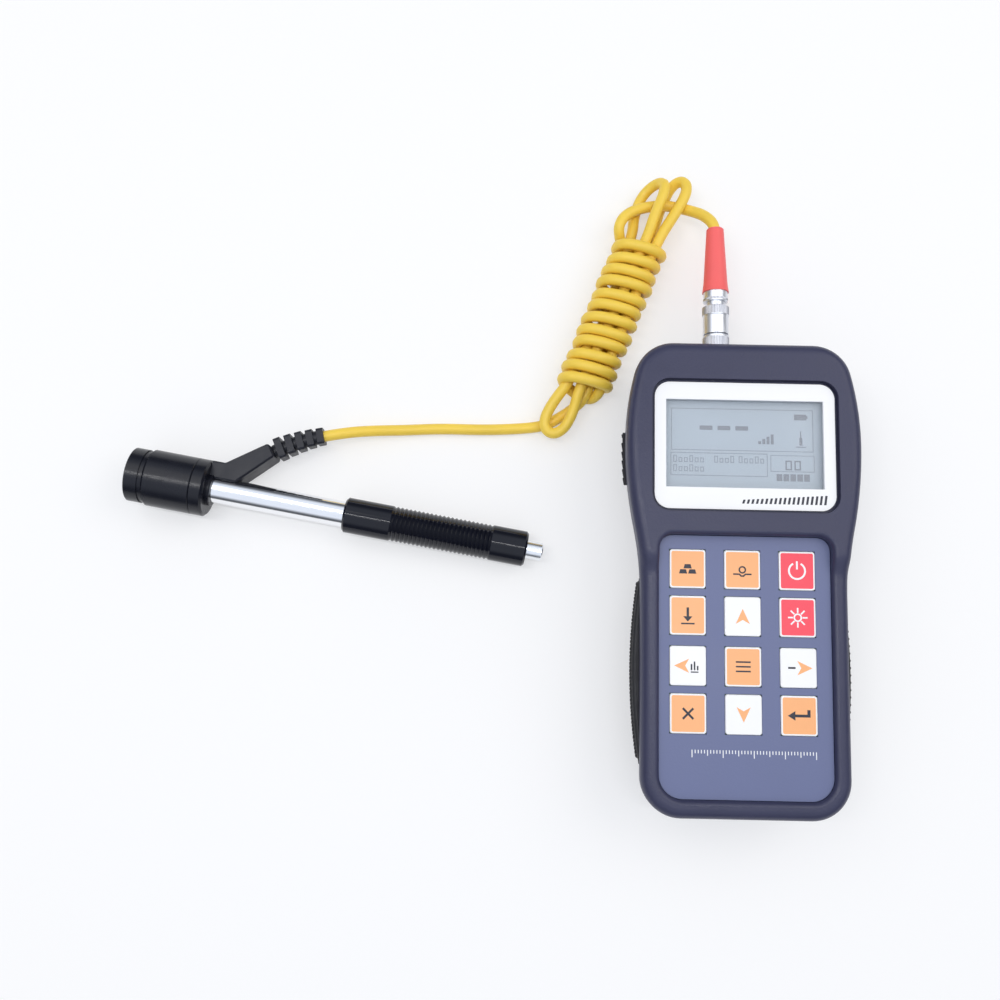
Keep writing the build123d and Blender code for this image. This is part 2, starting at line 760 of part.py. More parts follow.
with BuildPart() as case_screws:
    with BuildSketch(Plane.XY.offset(screw_seat_z - screw_head_height)):
        with Locations(*screw_places):
            Circle(screw_head_radius)
    extrude(amount=screw_head_height)
    with BuildSketch(Plane.XY.offset(screw_seat_z)):
        with Locations(*screw_places):
            Circle(screw_radius)
    extrude(amount=screw_end - screw_seat_z)
    with BuildSketch(Plane.XY.offset(screw_seat_z - screw_head_height)):
        with Locations(*screw_places):
            Rectangle(2 * screw_radius, screw_slot)
            Rectangle(screw_slot, 2 * screw_radius)
    extrude(amount=screw_head_height / 2, mode=Mode.SUBTRACT)
case_screws.part.label = "case_screws"
export_step(case_screws.part, "parts/case_screws.step")


def turned(plane, *points):
    """Closed profile along a turned piece: distance along its axis, then radius."""
    with BuildSketch(plane) as profile:
        with BuildLine():
            Polyline(*points, close=True)
        make_face()
    return profile.sketch


# Probe socket in the top wall, and its plug
plug_side = Plane(origin=(socket_x, 0, parting_height), x_dir=(0, 1, 0), z_dir=(1, 0, 0))
plug_axis = Axis((socket_x, 0, parting_height), (0, 1, 0))

with BuildPart() as socket_shell:
    add(turned(
        plug_side,
        (socket_start_y, 0), (socket_start_y, socket_radius),
        (flange_y - flange_thickness, socket_radius), (flange_y - flange_thickness, flange_radius),
        (flange_y, flange_radius), (flange_y, socket_radius), (nut_end_y, socket_radius),
        (nut_end_y, plug_radius + fit_gap), (plug_start_y - fit_gap, plug_radius + fit_gap),
        (plug_start_y - fit_gap, 0),
    ))
    revolve(axis=plug_axis)
socket_shell.part.label = "socket_shell"
export_step(socket_shell.part, "parts/socket_shell.step")

with BuildPart() as socket_nut:
    add(turned(
        plug_side,
        (nut_start_y, socket_radius + fit_gap), (nut_start_y, nut_radius),
        (nut_end_y - nut_lip, nut_radius), (nut_end_y, nut_radius - nut_lip),
        (nut_end_y, socket_radius + fit_gap),
    ))
    revolve(axis=plug_axis)
socket_nut.part.label = "socket_nut"
export_step(socket_nut.part, "parts/socket_nut.step")

with BuildPart() as plug_body:
    add(turned(
        plug_side,
        (plug_start_y, plug_bore_radius), (plug_start_y, plug_radius),
        (collet_end_y, plug_radius), (collet_end_y, 0),
        (pin_plate_y, 0), (pin_plate_y, plug_bore_radius),
    ))
    revolve(axis=plug_axis)
plug_body.part.label = "plug_body"
export_step(plug_body.part, "parts/plug_body.step")

with BuildPart() as plug_pins:
    pin_plate = Plane(origin=(socket_x, pin_plate_y, parting_height), x_dir=(1, 0, 0), z_dir=(0, -1, 0))
    with BuildSketch(pin_plate):
        with PolarLocations(plug_bore_radius / 2, pin_count):
            Circle(contact_pin_radius)
    extrude(amount=pin_plate_y - plug_start_y)
plug_pins.part.label = "plug_pins"
export_step(plug_pins.part, "parts/plug_pins.step")

with BuildPart() as plug_locking_sleeve:
    add(turned(
        plug_side,
        (locking_start_y, plug_radius + running_gap), (locking_start_y, locking_radius),
        (locking_band_y - nut_lip, locking_radius), (locking_band_y, locking_band_radius),
        (locking_end_y - nut_lip, locking_band_radius), (locking_end_y, locking_radius),
        (locking_end_y, plug_radius + running_gap),
    ))
    revolve(axis=plug_axis)
plug_locking_sleeve.part.label = "plug_locking_sleeve"
export_step(plug_locking_sleeve.part, "parts/plug_locking_sleeve.step")

with BuildPart() as plug_collet_nut:
    add(turned(
        plug_side,
        (collet_start_y, plug_radius + fit_gap), (collet_start_y, collet_radius),
        (collet_end_y, collet_radius), (collet_end_y, plug_radius + fit_gap),
    ))
    revolve(axis=plug_axis)
plug_collet_nut.part.label = "plug_collet_nut"
export_step(plug_collet_nut.part, "parts/plug_collet_nut.step")

with BuildPart() as plug_boot:
    add(turned(
        plug_side,
        (collet_end_y, 0), (collet_end_y, boot_base_radius),
        (collet_end_y + boot_flare, boot_waist_radius),
        (boot_end_y - boot_lip, boot_tip_radius), (boot_end_y, boot_tip_radius - boot_lip),
        (boot_end_y, cord_diameter / 2 + fit_gap), (boot_bore_start_y, cord_diameter / 2 + fit_gap),
        (boot_bore_start_y, 0),
    ))
    revolve(axis=plug_axis)
plug_boot.part.label = "plug_boot"
export_step(plug_boot.part, "parts/plug_boot.step")

# Impact device. It leans back, on the rim of its head and the end of its sleeve.
with BuildPart() as support_ring:
    add(turned(
        probe_side,
        (0, ring_bore_radius), (0, lip_radius - seam_chamfer), (seam_chamfer, lip_radius),
        (lip_length, lip_radius), (lip_length, ring_groove_radius),
        (housing_start, ring_groove_radius), (housing_start, spigot_radius),
        (spigot_end, spigot_radius), (spigot_end, ring_bore_radius),
    ))
    revolve(axis=probe_axis)
support_ring.part.label = "support_ring"
export_step(support_ring.part, "parts/support_ring.step")

with BuildPart() as coil_housing:
    add(turned(
        probe_side,
        (housing_start, spigot_radius + fit_gap), (housing_start, head_radius - head_chamfer),
        (housing_start + head_chamfer, head_radius), (cap_start - seam_chamfer, head_radius),
        (cap_start, head_radius - seam_chamfer), (cap_start, spigot_radius + fit_gap),
    ))
    revolve(axis=probe_axis)
coil_housing.part.label = "coil_housing"
export_step(coil_housing.part, "parts/coil_housing.step")

with BuildPart() as housing_cap:
    add(turned(
        probe_side,
        (cap_start, tube_radius + fit_gap), (cap_start, head_radius - seam_chamfer),
        (cap_start + seam_chamfer, head_radius), (head_end - head_chamfer, head_radius),
        (head_end, head_radius - head_chamfer), (head_end, collar_radius),
        (collar_end - seam_chamfer, collar_radius), (collar_end, collar_radius - seam_chamfer),
        (collar_end, tube_radius + fit_gap),
    ))
    revolve(axis=probe_axis)
housing_cap.part.label = "housing_cap"
export_step(housing_cap.part, "parts/housing_cap.step")

with BuildPart() as coil_bobbin:
    add(turned(
        probe_side,
        (spigot_end, tube_radius + fit_gap), (spigot_end, coil_radius),
        (spigot_end + bobbin_wall, coil_radius), (spigot_end + bobbin_wall, tube_radius + bobbin_wall),
        (cap_start - bobbin_wall, tube_radius + bobbin_wall), (cap_start - bobbin_wall, coil_radius),
        (cap_start, coil_radius), (cap_start, tube_radius + fit_gap),
    ))
    revolve(axis=probe_axis)
coil_bobbin.part.label = "coil_bobbin"
export_step(coil_bobbin.part, "parts/coil_bobbin.step")

with BuildPart() as coil_winding:
    add(turned(
        probe_side,
        (spigot_end + bobbin_wall + fit_gap, tube_radius + bobbin_wall + fit_gap),
        (spigot_end + bobbin_wall + fit_gap, coil_radius - fit_gap),
        (cap_start - bobbin_wall - fit_gap, coil_radius - fit_gap),
        (cap_start - bobbin_wall - fit_gap, tube_radius + bobbin_wall + fit_gap),
    ))
    revolve(axis=probe_axis)
coil_winding.part.label = "coil_winding"
export_step(coil_winding.part, "parts/coil_winding.step")

with BuildPart() as guide_tube:
    add(turned(
        probe_side,
        (tube_start, tube_bore_radius), (tube_start, tube_radius),
        (tube_end, tube_radius), (tube_end, tube_bore_radius),
    ))
    revolve(axis=probe_axis)
guide_tube.part.label = "guide_tube"
export_step(guide_tube.part, "parts/guide_tube.step")

with BuildPart() as tube_bush:
    add(turned(
        probe_side,
        (tube_end - bush_length, rod_radius + running_gap),
        (tube_end - bush_length, tube_bore_radius - fit_gap),
        (tube_end, tube_bore_radius - fit_gap), (tube_end, rod_radius + running_gap),
    ))
    revolve(axis=probe_axis)
tube_bush.part.label = "tube_bush"
export_step(tube_bush.part, "parts/tube_bush.step")

# Impact body with its carbide ball, free in the bore of the guide tube
with BuildPart() as test_ball:
    with Locations(Location(probe_side.from_local_coords((ball_setback + ball_radius, 0, 0)))):
        Sphere(ball_radius)
test_ball.part.label = "test_ball"
export_step(test_ball.part, "parts/test_ball.step")

with BuildPart() as impact_body:
    add(turned(
        probe_side,
        (ball_setback + ball_radius, 0), (ball_setback + ball_radius, ball_radius + running_gap),
        (body_shoulder, body_radius), (body_start + body_length, body_radius),
        (body_start + body_length, stem_radius), (stem_head_start, stem_radius),
        (stem_head_start, stem_head_radius), (stem_tip, stem_head_radius), (stem_tip, 0),
    ))
    revolve(axis=probe_axis)
    add(test_ball.part, mode=Mode.SUBTRACT)
impact_body.part.label = "impact_body"
export_step(impact_body.part, "parts/impact_body.step")

# Catch chuck on a hollow rod, carried by the loading sleeve
with BuildPart() as catch_chuck:
    add(turned(
        probe_side,
        (chuck_start, chuck_bore_radius), (chuck_start, body_radius),
        (chuck_start + chuck_length, body_radius), (chuck_start + chuck_length, rod_bore_radius),
        (chuck_start + chuck_bore_depth, rod_bore_radius),
        (chuck_start + chuck_bore_depth, chuck_bore_radius),
    ))
    revolve(axis=probe_axis)
    with BuildSketch(probe_side):
        Rectangle(chuck_bore_depth + chuck_start, chuck_slot, align=(Align.MIN, Align.CENTER))
    extrude(amount=2 * body_radius, both=True, mode=Mode.SUBTRACT)
catch_chuck.part.label = "catch_chuck"
export_step(catch_chuck.part, "parts/catch_chuck.step")

with BuildPart() as chuck_rod:
    add(turned(
        probe_side,
        (chuck_start + chuck_length, rod_bore_radius), (chuck_start + chuck_length, rod_radius),
        (cap_plug_start - rod_flange_length, rod_radius),
        (cap_plug_start - rod_flange_length, sleeve_bore_radius - fit_gap),
        (cap_plug_start, sleeve_bore_radius - fit_gap), (cap_plug_start, rod_bore_radius),
    ))
    revolve(axis=probe_axis)
chuck_rod.part.label = "chuck_rod"
export_step(chuck_rod.part, "parts/chuck_rod.step")

# Loading sleeve with its ring of finger ribs
with BuildPart() as loading_sleeve:
    ribs = []
    for rib in range(rib_count):
        ribs.append((rib_start + rib * rib_pitch, sleeve_radius - rib_depth))
        ribs.append((rib_start + (rib + 0.5) * rib_pitch, sleeve_radius))
    rib_end = rib_start + rib_count * rib_pitch
    add(turned(
        probe_side,
        (sleeve_start, tube_radius + running_gap), (sleeve_start, sleeve_radius - head_chamfer),
        (sleeve_start + head_chamfer, sleeve_radius), (rib_start - rib_pitch / 2, sleeve_radius),
        *ribs,
        (rib_end, sleeve_radius - rib_depth), (rib_end + rib_pitch / 2, sleeve_radius),
        (sleeve_end - head_chamfer, sleeve_radius), (sleeve_end, sleeve_radius - head_chamfer),
        (sleeve_end, sleeve_bore_radius), (sleeve_start + sleeve_bearing_length, sleeve_bore_radius),
        (sleeve_start + sleeve_bearing_length, tube_radius + running_gap),
    ))
    revolve(axis=probe_axis)
loading_sleeve.part.label = "loading_sleeve"
export_step(loading_sleeve.part, "parts/loading_sleeve.step")

with BuildPart() as sleeve_end_cap:
    add(turned(
        probe_side,
        (cap_plug_start, button_flange_radius + running_gap), (cap_plug_start, sleeve_bore_radius - fit_gap),
        (sleeve_end, sleeve_bore_radius - fit_gap), (sleeve_end, button_radius + running_gap),
        (cap_ledge, button_radius + running_gap), (cap_ledge, button_flange_radius + running_gap),
    ))
    revolve(axis=probe_axis)
sleeve_end_cap.part.label = "sleeve_end_cap"
export_step(sleeve_end_cap.part, "parts/sleeve_end_cap.step")

with BuildPart() as release_button:
    add(turned(
        probe_side,
        (pin_start, 0), (pin_start, pin_radius),
        (cap_ledge - fit_gap - button_flange_length, pin_radius),
        (cap_ledge - fit_gap - button_flange_length, button_flange_radius),
        (cap_ledge - fit_gap, button_flange_radius), (cap_ledge - fit_gap, button_radius),
        (button_end - button_edge, button_radius), (button_end, button_radius - button_edge),
        (button_end, 0),
    ))
    revolve(axis=probe_axis)
release_button.part.label = "release_button"
export_step(release_button.part, "parts/release_button.step")


def coil_spring(start, end, radius, wire_radius, turns):
    """Compression spring round the probe axis, wound with clear ends."""
    length = end - start - 2 * wire_radius - 2 * fit_gap
    centre = probe_side.from_local_coords((start + wire_radius + fit_gap, 0, 0))
    with BuildPart() as spring:
        with BuildLine():
            coil = Helix(length / turns, length, radius, center=centre, direction=probe_dir)
        with BuildSketch(Plane(origin=coil @ 0, z_dir=coil % 0)):
            RegularPolygon(wire_radius, wire_sides)
        sweep(is_frenet=True)
    return spring.part


# Springs: return of the sleeve, drive of the impact body, return of the button
loading_spring = coil_spring(
    tube_end, cap_plug_start - rod_flange_length, loading_coil_radius, loading_wire_radius, loading_turns
)
loading_spring.label = "loading_spring"
export_step(loading_spring, "parts/loading_spring.step")
impact_spring = coil_spring(
    chuck_start + chuck_length, tube_end - bush_length, impact_coil_radius, impact_wire_radius, impact_turns
)
impact_spring.label = "impact_spring"
export_step(impact_spring, "parts/impact_spring.step")
button_spring = coil_spring(
    cap_plug_start, cap_ledge - button_flange_length, button_coil_radius, button_wire_radius, button_turns
)
button_spring.label = "button_spring"
export_step(button_spring, "parts/button_spring.step")

# Side connector beside the tube, seated on the tube, the collar and the housing cap
arm_exit = Vector(1, 0).rotate(Axis.Z, arm_turn)
arm_outer_end = Vector(head_end + arm_bend, arm_outer) + arm_exit * arm_length
arm_inner_end = arm_outer_end + arm_exit.rotate(Axis.Z, -90) * arm_width
arm_plane = Plane(
    origin=(probe_nose_x, probe_nose_y, arm_low_z),
    x_dir=Vector(1, 0, 0).rotate(Axis.Z, probe_turn),
    z_dir=(0, 0, 1),
)
with BuildPart() as side_connector:
    with BuildSketch(arm_plane) as arm:
        with BuildLine():
            Polyline(
                (head_end - beyond, arm_inner), (head_end + arm_heel, arm_inner),
                arm_inner_end, arm_outer_end,
                (head_end + arm_bend, arm_outer), (head_end - beyond, arm_outer),
                close=True,
            )
        make_face()
        fillet(arm.vertices().sort_by(Axis.X)[2:], arm_corner)
    extrude(amount=arm_height)
    chamfer(side_connector.faces().sort_by(Axis.Z)[-1].edges(), arm_edge)
    add(turned(
        probe_side,
        (0, 0), (0, head_radius + beyond), (head_end + fit_gap, head_radius + beyond),
        (head_end + fit_gap, collar_radius + fit_gap), (collar_end + fit_gap, collar_radius + fit_gap),
        (collar_end + fit_gap, tube_radius + fit_gap), (sleeve_start, tube_radius + fit_gap),
        (sleeve_start, 0),
    ))
    revolve(axis=probe_axis, mode=Mode.SUBTRACT)
side_connector.part.label = "side_connector"
export_step(side_connector.part, "parts/side_connector.step")

# Ribbed strain relief, bending with the lead that it holds
relief_end = arm_plane.from_local_coords((arm_outer_end + arm_inner_end) * 0.5)
relief_plane = Plane(
    origin=relief_end + Vector(0, 0, arm_height / 2),
    x_dir=Vector(1, 0, 0).rotate(Axis.Z, probe_turn + arm_turn),
    z_dir=(0, 0, 1),
)
relief_length = relief_ribs * relief_pitch
with BuildPart() as strain_relief:
    with BuildLine(relief_plane):
        spine = JernArc((0, 0), (1, 0), relief_length / radians(relief_turn), -relief_turn)
    for rib in range(relief_ribs):
        share = (rib + 1) / relief_ribs
        size = relief_start_size + (relief_end_size - relief_start_size) * (rib / (relief_ribs - 1))
        with BuildSketch(Plane(origin=spine @ share, x_dir=(0, 0, 1), z_dir=spine % share)):
            RectangleRounded(size, size, relief_corner)
        extrude(amount=-relief_rib_length)
    with BuildSketch(Plane(origin=spine @ 0, x_dir=(0, 0, 1), z_dir=spine % 0)):
        Circle(relief_core_radius)
    sweep(path=spine)
strain_relief.part.label = "strain_relief"
export_step(strain_relief.part, "parts/strain_relief.step")


def cord_tube(points):
    """Round lead along straight runs joined by arcs as large as the runs allow."""
    runs = [Vector(b) - Vector(a) for a, b in zip(points, points[1:])]
    radii = []
    for before, after in zip(runs, runs[1:]):
        half_turn = radians(before.get_angle(after)) / 2
        radii.append(0.45 * min(before.length, after.length) / tan(half_turn))
    with BuildPart() as tube:
        with BuildLine() as route:
            FilletPolyline(*points, radius=radii)
        start = route.wires()[0]
        with BuildSketch(Plane(origin=start @ 0, z_dir=start % 0)):
            Circle(cord_diameter / 2)
        sweep()
    expected = pi * cord_diameter ** 2 / 4 * start.length
    print("lead length", round(start.length, 1), "volume share", round(tube.part.volume / expected, 4))
    print("radii", [round(radius, 1) for radius in radii])
    return tube.part


# Lead from the strain relief, down to the table and along it to the hank
relief_tip = spine @ 1
print("strain relief tip", relief_tip, "direction", spine % 1)
cord_to_probe = cord_tube([
    relief_tip,
    relief_tip + (spine % 1) * 2 * cord_diameter,
    (-126.6, 50.9, 4.9),
    (-116.0, 51.8, 2.3),
    (-103.0, 52.7, 2.1),
    (-88.0, 52.5, 2.1),
    (-74.5, 53.2, 2.1),
    (-63.0, 55.2, 2.4),
])
cord_to_probe.label = "cord_to_probe"
export_step(cord_to_probe, "parts/cord_to_probe.step")

# Lead from the plug boot down to the loops at the head of the hank
cord_to_plug = cord_tube([
    (-5.9, 119.5, 16.0),
    (-6.5, 126.0, 15.9),
    (-9.6, 131.3, 14.6),
    (-14.6, 135.3, 12.0),
    (-20.6, 137.3, 9.6),
    (-26.6, 138.0, 8.2),
])
cord_to_plug.label = "cord_to_plug"
export_step(cord_to_plug, "parts/cord_to_plug.step")

# Outer shape of the hank: a wound waist with a fan of loops at each end
hank_foot = Vector(-51.5, 69.0, hank_height / 2)
hank_head = Vector(-32.3, 118.3, hank_height / 2)
hank_dir = (hank_head - hank_foot).normalized()
hank_start = Plane(origin=hank_foot - hank_dir * cord_diameter / 2, x_dir=(0, 0, 1), z_dir=hank_dir)
with BuildPart() as cord_hank:
    with BuildSketch(hank_start):
        RectangleRounded(hank_height, hank_width, hank_round)
    extrude(amount=(hank_head - hank_foot).length + cord_diameter)
    with BuildSketch():
        with BuildLine():
            Polyline(
                (-22.0, 119.0), (-13.0, 133.5), (-11.3, 142.5), (-16.0, 148.6),
                (-31.0, 146.5), (-37.5, 140.5), (-42.6, 132.0), (-42.3, 119.0),
                close=True,
            )
        make_face()
    extrude(amount=loop_height)
    with BuildSketch():
        with BuildLine():
            Polyline(
                (-41.5, 70.0), (-42.6, 64.0), (-48.0, 60.0), (-57.0, 51.5),
                (-62.5, 49.3), (-67.4, 53.0), (-67.4, 59.0), (-60.4, 71.0),
                close=True,
            )
        make_face()
    extrude(amount=loop_height)
cord_hank.part.label = "cord_hank"
export_step(cord_hank.part, "parts/cord_hank.step")
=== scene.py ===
# Portable rebound hardness tester: meter, lead in a hank, and impact device
from math import copysign, cos, pi, radians, sin

import bmesh
import bpy
from mathutils import Matrix, Vector
from mathutils.bvhtree import BVHTree


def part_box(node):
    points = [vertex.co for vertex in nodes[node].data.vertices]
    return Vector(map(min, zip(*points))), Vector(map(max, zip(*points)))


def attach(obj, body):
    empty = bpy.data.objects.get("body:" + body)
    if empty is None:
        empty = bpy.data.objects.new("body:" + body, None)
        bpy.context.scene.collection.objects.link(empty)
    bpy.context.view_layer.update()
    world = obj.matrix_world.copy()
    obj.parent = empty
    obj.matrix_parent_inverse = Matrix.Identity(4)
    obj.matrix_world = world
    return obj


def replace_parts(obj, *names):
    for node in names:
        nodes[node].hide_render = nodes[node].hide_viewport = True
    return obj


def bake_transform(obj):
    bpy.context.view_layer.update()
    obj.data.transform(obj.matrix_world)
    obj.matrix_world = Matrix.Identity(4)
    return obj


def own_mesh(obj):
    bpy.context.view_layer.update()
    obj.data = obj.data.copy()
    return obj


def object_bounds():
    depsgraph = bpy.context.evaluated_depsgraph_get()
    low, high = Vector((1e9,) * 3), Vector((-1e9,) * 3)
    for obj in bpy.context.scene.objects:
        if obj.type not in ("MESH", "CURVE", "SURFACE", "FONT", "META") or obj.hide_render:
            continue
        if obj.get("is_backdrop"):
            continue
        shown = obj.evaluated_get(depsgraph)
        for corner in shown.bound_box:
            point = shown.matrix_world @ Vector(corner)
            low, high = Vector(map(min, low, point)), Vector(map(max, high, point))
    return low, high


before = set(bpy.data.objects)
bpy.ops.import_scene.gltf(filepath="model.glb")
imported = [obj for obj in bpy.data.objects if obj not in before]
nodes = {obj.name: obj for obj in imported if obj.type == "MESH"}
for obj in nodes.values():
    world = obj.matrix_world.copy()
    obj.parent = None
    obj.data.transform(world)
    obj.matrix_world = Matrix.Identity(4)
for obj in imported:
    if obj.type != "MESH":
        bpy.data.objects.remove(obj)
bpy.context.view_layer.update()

# Camera: straight above the table, a little in front of the object and looking slightly forward.
# The three directions are its right, up and back.
camera_right = Vector((0.999779, 0.020994, -0.000816))
camera_up = Vector((-0.020723, 0.991767, 0.126369))
camera_back = Vector((0.003462, -0.126325, 0.991983))
camera_place = Vector((-0.07977, -0.01809, 0.3561))
sensor_width = 36.0
focal_length = 35.64
nearest_seen = 0.01
lens = bpy.data.cameras.new("photo_camera")
lens.sensor_width = sensor_width
lens.lens = focal_length
lens.clip_start = nearest_seen
camera = bpy.data.objects.new("photo_camera", lens)
camera_turn = Matrix((camera_right, camera_up, camera_back)).transposed().to_4x4()
camera.matrix_world = Matrix.Translation(camera_place) @ camera_turn
bpy.context.scene.collection.objects.link(camera)
bpy.context.scene.camera = camera

# Studio: a pale table under two wide soft lamps, one long narrow lamp above the impact device and an
# even pale sky. What metal mirrors is whiter than the light that falls on the object, with a grey
# band low down all round it.
table_size = 6.0
table_colour = (0.985, 0.985, 0.995, 1.0)
table_roughness = 0.9
glow_near = 0.45
glow_far = 1.0
glow_reach = (0.2, 0.9)
sky_colour = (0.84, 0.895, 1.0, 1.0)
sky_strength = 0.62
sky_overhead = 1.0
sky_low = 0.14
sky_low_below = 0.28
sky_full_above = 0.72
lamp_colour = (1.0, 0.95, 0.86)
lamp_target = Vector((-0.08, 0.0, 0.0))
soft_boxes = (
    ("soft_box_left", (-0.5, 0.3, 0.75), 0.6, 0.95),
    ("soft_box_right", (0.5, 0.25, 0.7), 0.6, 1.75),
)
strip_place = (-0.2, 0.03, 0.9)
strip_turn = -9.5
strip_size = (0.8, 0.035)
strip_power = 2.2
bpy.context.scene.view_settings.view_transform = "Standard"
table_mesh = bmesh.new()
bmesh.ops.create_grid(table_mesh, x_segments=1, y_segments=1, size=table_size / 2)
table_data = bpy.data.meshes.new("table_top")
table_mesh.to_mesh(table_data)
table_mesh.free()
table_top = bpy.data.objects.new("table_top", table_data)
bpy.context.scene.collection.objects.link(table_top)
table_top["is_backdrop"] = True


def seen_rays(shading, links):
    """One for a ray from the camera, a mirror or clear plastic, and nought for any other."""
    rays = shading.new("ShaderNodeLightPath")
    first = shading.new("ShaderNodeMath")
    first.operation = "MAXIMUM"
    second = shading.new("ShaderNodeMath")
    second.operation = "MAXIMUM"
    links.new(rays.outputs["Is Camera Ray"], first.inputs[0])
    links.new(rays.outputs["Is Glossy Ray"], first.inputs[1])
    links.new(first.outputs[0], second.inputs[0])
    links.new(rays.outputs["Is Transmission Ray"], second.inputs[1])
    return second.outputs[0]


table_finish = bpy.data.materials.new("table_finish")
table_finish.use_nodes = True
links = table_finish.node_tree.links
shading = table_finish.node_tree.nodes
shading["Principled BSDF"].inputs["Base Color"].default_value = table_colour
shading["Principled BSDF"].inputs["Roughness"].default_value = table_roughness
glow = shading.new("ShaderNodeEmission")
glow.inputs["Strength"].default_value = 1.0
share = shading.new("ShaderNodeMath")
share.operation = "MULTIPLY"
place = shading.new("ShaderNodeTexCoord")
distance = shading.new("ShaderNodeVectorMath")
distance.operation = "LENGTH"
fade = shading.new("ShaderNodeMapRange")
fade.inputs["From Min"].default_value, fade.inputs["From Max"].default_value = glow_reach
fade.inputs["To Min"].default_value = glow_near
fade.inputs["To Max"].default_value = glow_far
links.new(place.outputs["Object"], distance.inputs[0])
links.new(distance.outputs["Value"], fade.inputs["Value"])
links.new(fade.outputs["Result"], share.inputs[1])
blend = shading.new("ShaderNodeMixShader")
links.new(seen_rays(shading, links), share.inputs[0])
links.new(share.outputs[0], blend.inputs["Fac"])
links.new(shading["Principled BSDF"].outputs["BSDF"], blend.inputs[1])
links.new(glow.outputs["Emission"], blend.inputs[2])
links.new(blend.outputs["Shader"], shading["Material Output"].inputs["Surface"])
table_data.materials.append(table_finish)

sky = bpy.data.worlds.new("studio_sky")
sky.use_nodes = True
links = sky.node_tree.links
shading = sky.node_tree.nodes
backdrop = shading.new("ShaderNodeMix")
backdrop.data_type = "RGBA"
backdrop.inputs[6].default_value = sky_colour
backdrop.inputs[7].default_value = (1, 1, 1, 1)
links.new(backdrop.outputs[2], shading["Background"].inputs["Color"])
direction = shading.new("ShaderNodeTexCoord")
parts = shading.new("ShaderNodeSeparateXYZ")
height = shading.new("ShaderNodeMapRange")
height.interpolation_type = "SMOOTHSTEP"
height.inputs["From Min"].default_value = sky_low_below
height.inputs["From Max"].default_value = sky_full_above
height.inputs["To Min"].default_value = sky_low
height.inputs["To Max"].default_value = sky_overhead
rays = shading.new("ShaderNodeLightPath")
mirrored = shading.new("ShaderNodeMix")
mirrored.inputs[2].default_value = sky_strength
white = shading.new("ShaderNodeMix")
white.inputs[3].default_value = 1.0
links.new(direction.outputs["Generated"], parts.inputs[0])
links.new(parts.outputs["Z"], height.inputs["Value"])
links.new(rays.outputs["Is Glossy Ray"], mirrored.inputs[0])
links.new(height.outputs["Result"], mirrored.inputs[3])
links.new(mirrored.outputs[0], white.inputs[2])
links.new(rays.outputs["Is Camera Ray"], white.inputs[0])
links.new(rays.outputs["Is Camera Ray"], backdrop.inputs[0])
links.new(white.outputs[0], shading["Background"].inputs["Strength"])
bpy.context.scene.world = sky
for name, place, size, power in soft_boxes:
    lamp = bpy.data.lights.new(name, "AREA")
    lamp.size = size
    lamp.energy = power
    lamp.color = lamp_colour
    soft_box = bpy.data.objects.new(name, lamp)
    soft_box.location = place
    aim = lamp_target - soft_box.location
    soft_box.rotation_mode = "QUATERNION"
    soft_box.rotation_quaternion = aim.to_track_quat("-Z", "Y")
    bpy.context.scene.collection.objects.link(soft_box)
lamp = bpy.data.lights.new("strip_lamp", "AREA")
lamp.shape = "RECTANGLE"
lamp.size, lamp.size_y = strip_size
lamp.energy = strip_power
strip_lamp = bpy.data.objects.new("strip_lamp", lamp)
strip_lamp.location = strip_place
strip_lamp.rotation_euler = (0, 0, radians(strip_turn))
bpy.context.scene.collection.objects.link(strip_lamp)

# Lead: one limp cable in a yellow satin jacket, 4 mm thick. It leaves the strain relief, lies along
# the table, runs four times through the waist of its hank, is wound twelve times round it and ends
# in the boot.
lead_diameter = 0.004
lead_yellow = (0.92, 0.64, 0.075)
lead_exit = (-0.14407, 0.04773, 0.0086)
waist_foot = Vector((-0.0515, 0.0690, 0.0))
waist_head = Vector((-0.0323, 0.1183, 0.0))
waist_dir = (waist_head - waist_foot).normalized()
waist_side = Vector((waist_dir.y, -waist_dir.x, 0.0))
waist_length = (waist_head - waist_foot).length
turns = 12
points_per_turn = 12
wrap_half_width = 0.0083
wrap_half_height = 0.0062
wrap_middle = 0.0081
wrap_lean = 0.0004
wrap_fullness = 0.85
wrap_start = -0.0012
wrap_wander = 0.00035
wrap_swell = 0.03
cloud_edges = (0.3, 0.7)
gloss_drift = 0.12


def in_waist(along, across, height):
    """A point of the hank, from the foot of its waist along it and across it."""
    place = waist_foot + waist_dir * along + waist_side * across
    return (place.x, place.y, height)


def flattened(wave):
    """A wave with a broader crest, for a turn that lies flatter than a circle."""
    return copysign(abs(wave) ** wrap_fullness, wave)


to_hank = [
    lead_exit,
    (-0.13623, 0.04932, 0.0086), (-0.1266, 0.0509, 0.0049), (-0.1160, 0.0518, 0.0023),
    (-0.1030, 0.0527, 0.0021), (-0.0880, 0.0525, 0.0021), (-0.0745, 0.0532, 0.0021),
]
first_run = [
    (-0.0655, 0.0544, 0.0021), (-0.0603, 0.0574, 0.0022), (-0.0555, 0.0605, 0.0030),
    (-0.0515, 0.0638, 0.0056), (-0.0495, 0.0690, 0.0062),
    in_waist(0.014, 0.0010, 0.0058), in_waist(0.030, -0.0015, 0.0057), in_waist(0.046, -0.0040, 0.0057),
]
small_loop = [
    (-0.0341, 0.1267, 0.0055), (-0.0336, 0.1326, 0.0042), (-0.0322, 0.1380, 0.0040),
    (-0.0302, 0.1420, 0.0045), (-0.0274, 0.1446, 0.0062), (-0.0246, 0.1452, 0.0090),
    (-0.0230, 0.1432, 0.0116), (-0.0237, 0.1392, 0.0127), (-0.0256, 0.1346, 0.0127),
    (-0.0274, 0.1300, 0.0125), (-0.0292, 0.1240, 0.0119),
]
